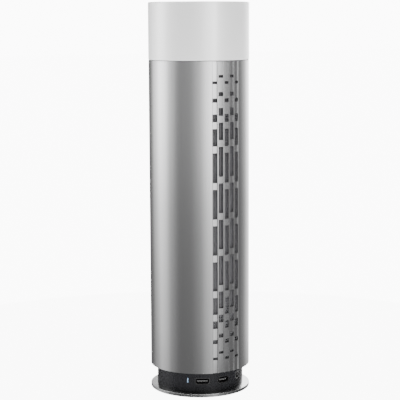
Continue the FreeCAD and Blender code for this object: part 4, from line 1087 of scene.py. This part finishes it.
def makeSpring():
    plan = springSettings
    low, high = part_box("button_spring")
    half = plan["wire"] / 2
    ring = halfWidth("button_spring") - half
    steps = plan["turns"] * plan["stepsPerTurn"]
    work = bmesh.new()
    rows = []
    for step in range(steps + 1):
        turn = 2 * math.pi * step / plan["stepsPerTurn"]
        height = low.z + half + (high.z - low.z - plan["wire"]) * step / steps
        row = []
        for side in range(plan["sides"]):
            angle = 2 * math.pi * side / plan["sides"]
            reach = ring + half * math.cos(angle)
            row.append(work.verts.new((reach * math.cos(turn), reach * math.sin(turn),
                                       height + half * math.sin(angle))))
        rows.append(row)
    for first, second in zip(rows, rows[1:]):
        for side in range(plan["sides"]):
            after = (side + 1) % plan["sides"]
            work.faces.new((first[side], second[side], second[after], first[after]))
    work.faces.new(rows[0])
    work.faces.new(rows[-1])
    spring = newObject("buttonSpring", closeMesh("buttonSpring", work))
    shadeSmooth(spring.data)
    finishPiece(spring, "tower", "steel_zinc", "button_spring")
    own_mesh(spring)


# Foot: a metal disc with a rubber ring let into its underside

footSettings = {
    "segments": 384,
    "ringSegments": 256,
    "holeSegments": 48,
    "rimRadius": 0.2 * mm,
    "lowRimRadius": 0.5 * mm,
    "grooveEdge": 0.15 * mm,
    "groove": (45.1 * mm, 39.9 * mm),
    "grooveDepth": 1.5 * mm,
    "bossRing": 33.0 * mm,
    "bossAngles": (20, 160, 200, 340),
    "screwHole": 1.5 * mm,
    "headHole": 2.7 * mm,
    "headDepth": 1.6 * mm,
    "cutterExtra": 1.0 * mm,
    "ribCount": 4,
    "ribDepth": 0.35 * mm,
    "ringGap": 0.1 * mm,
    "ringEdge": 0.4 * mm,
}


def makeFoot():
    plan = footSettings
    low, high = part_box("foot_disc")
    radius = halfWidth("foot_disc")
    outer, inner = plan["groove"]
    sunk = low.z + plan["grooveDepth"]
    mesh = latheMesh("footDisc", [
        (0, low.z, 0), (inner, low.z, plan["grooveEdge"]), (inner, sunk, 0), (outer, sunk, 0),
        (outer, low.z, plan["grooveEdge"]), (radius, low.z, plan["lowRimRadius"]),
        (radius, high.z, plan["rimRadius"]), (0, high.z, 0)], plan["segments"])
    disc = newObject("footDisc", mesh)
    tools = []
    start = low.z - plan["cutterExtra"]
    step = low.z + plan["headDepth"]
    end = high.z + plan["cutterExtra"]
    for angle in plan["bossAngles"]:
        way = math.radians(angle)
        tool = latheMesh("hole", [(0, start, 0), (plan["headHole"], start, 0),
                                  (plan["headHole"], step, 0), (plan["screwHole"], step, 0),
                                  (plan["screwHole"], end, 0), (0, end, 0)],
                         plan["holeSegments"])
        tool.transform(Matrix.Translation((plan["bossRing"] * math.cos(way),
                                           plan["bossRing"] * math.sin(way), 0)))
        tools.append(tool)
    carve(disc, tools)
    shadeSmooth(disc.data)
    finishPiece(disc, "base", "foot_metal", "foot_disc")

    low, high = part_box("foot_ring")
    outer, inner = halfWidth("foot_ring"), plan["groove"][1] + plan["ringGap"]
    corners = [(inner, low.z, plan["ringEdge"])]
    span = (outer - inner) / (plan["ribCount"] + 1)
    for rib in range(1, plan["ribCount"] + 1):
        middle = inner + span * rib
        corners += [(middle - plan["ribDepth"], low.z, 0), (middle, low.z + plan["ribDepth"], 0),
                    (middle + plan["ribDepth"], low.z, 0)]
    corners += [(outer, low.z, plan["ringEdge"]), (outer, high.z, 0), (inner, high.z, 0)]
    ring = newObject("footRing", latheMesh("footRing", corners, plan["ringSegments"], 3))
    shadeSmooth(ring.data)
    finishPiece(ring, "base", "foot_rubber", "foot_ring")


def halfWidth(node):
    low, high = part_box(node)
    return min(high.x - low.x, high.y - low.y) / 2


makeCamera()
makeStudio()
makeFloor()
report("camera, light and floor are ready")
paintFrame()
makeSleeve()
makeScreens()
makeImpeller()
makeCap()
makeButton()
makeSpring()
makeFoot()
makeScrews()
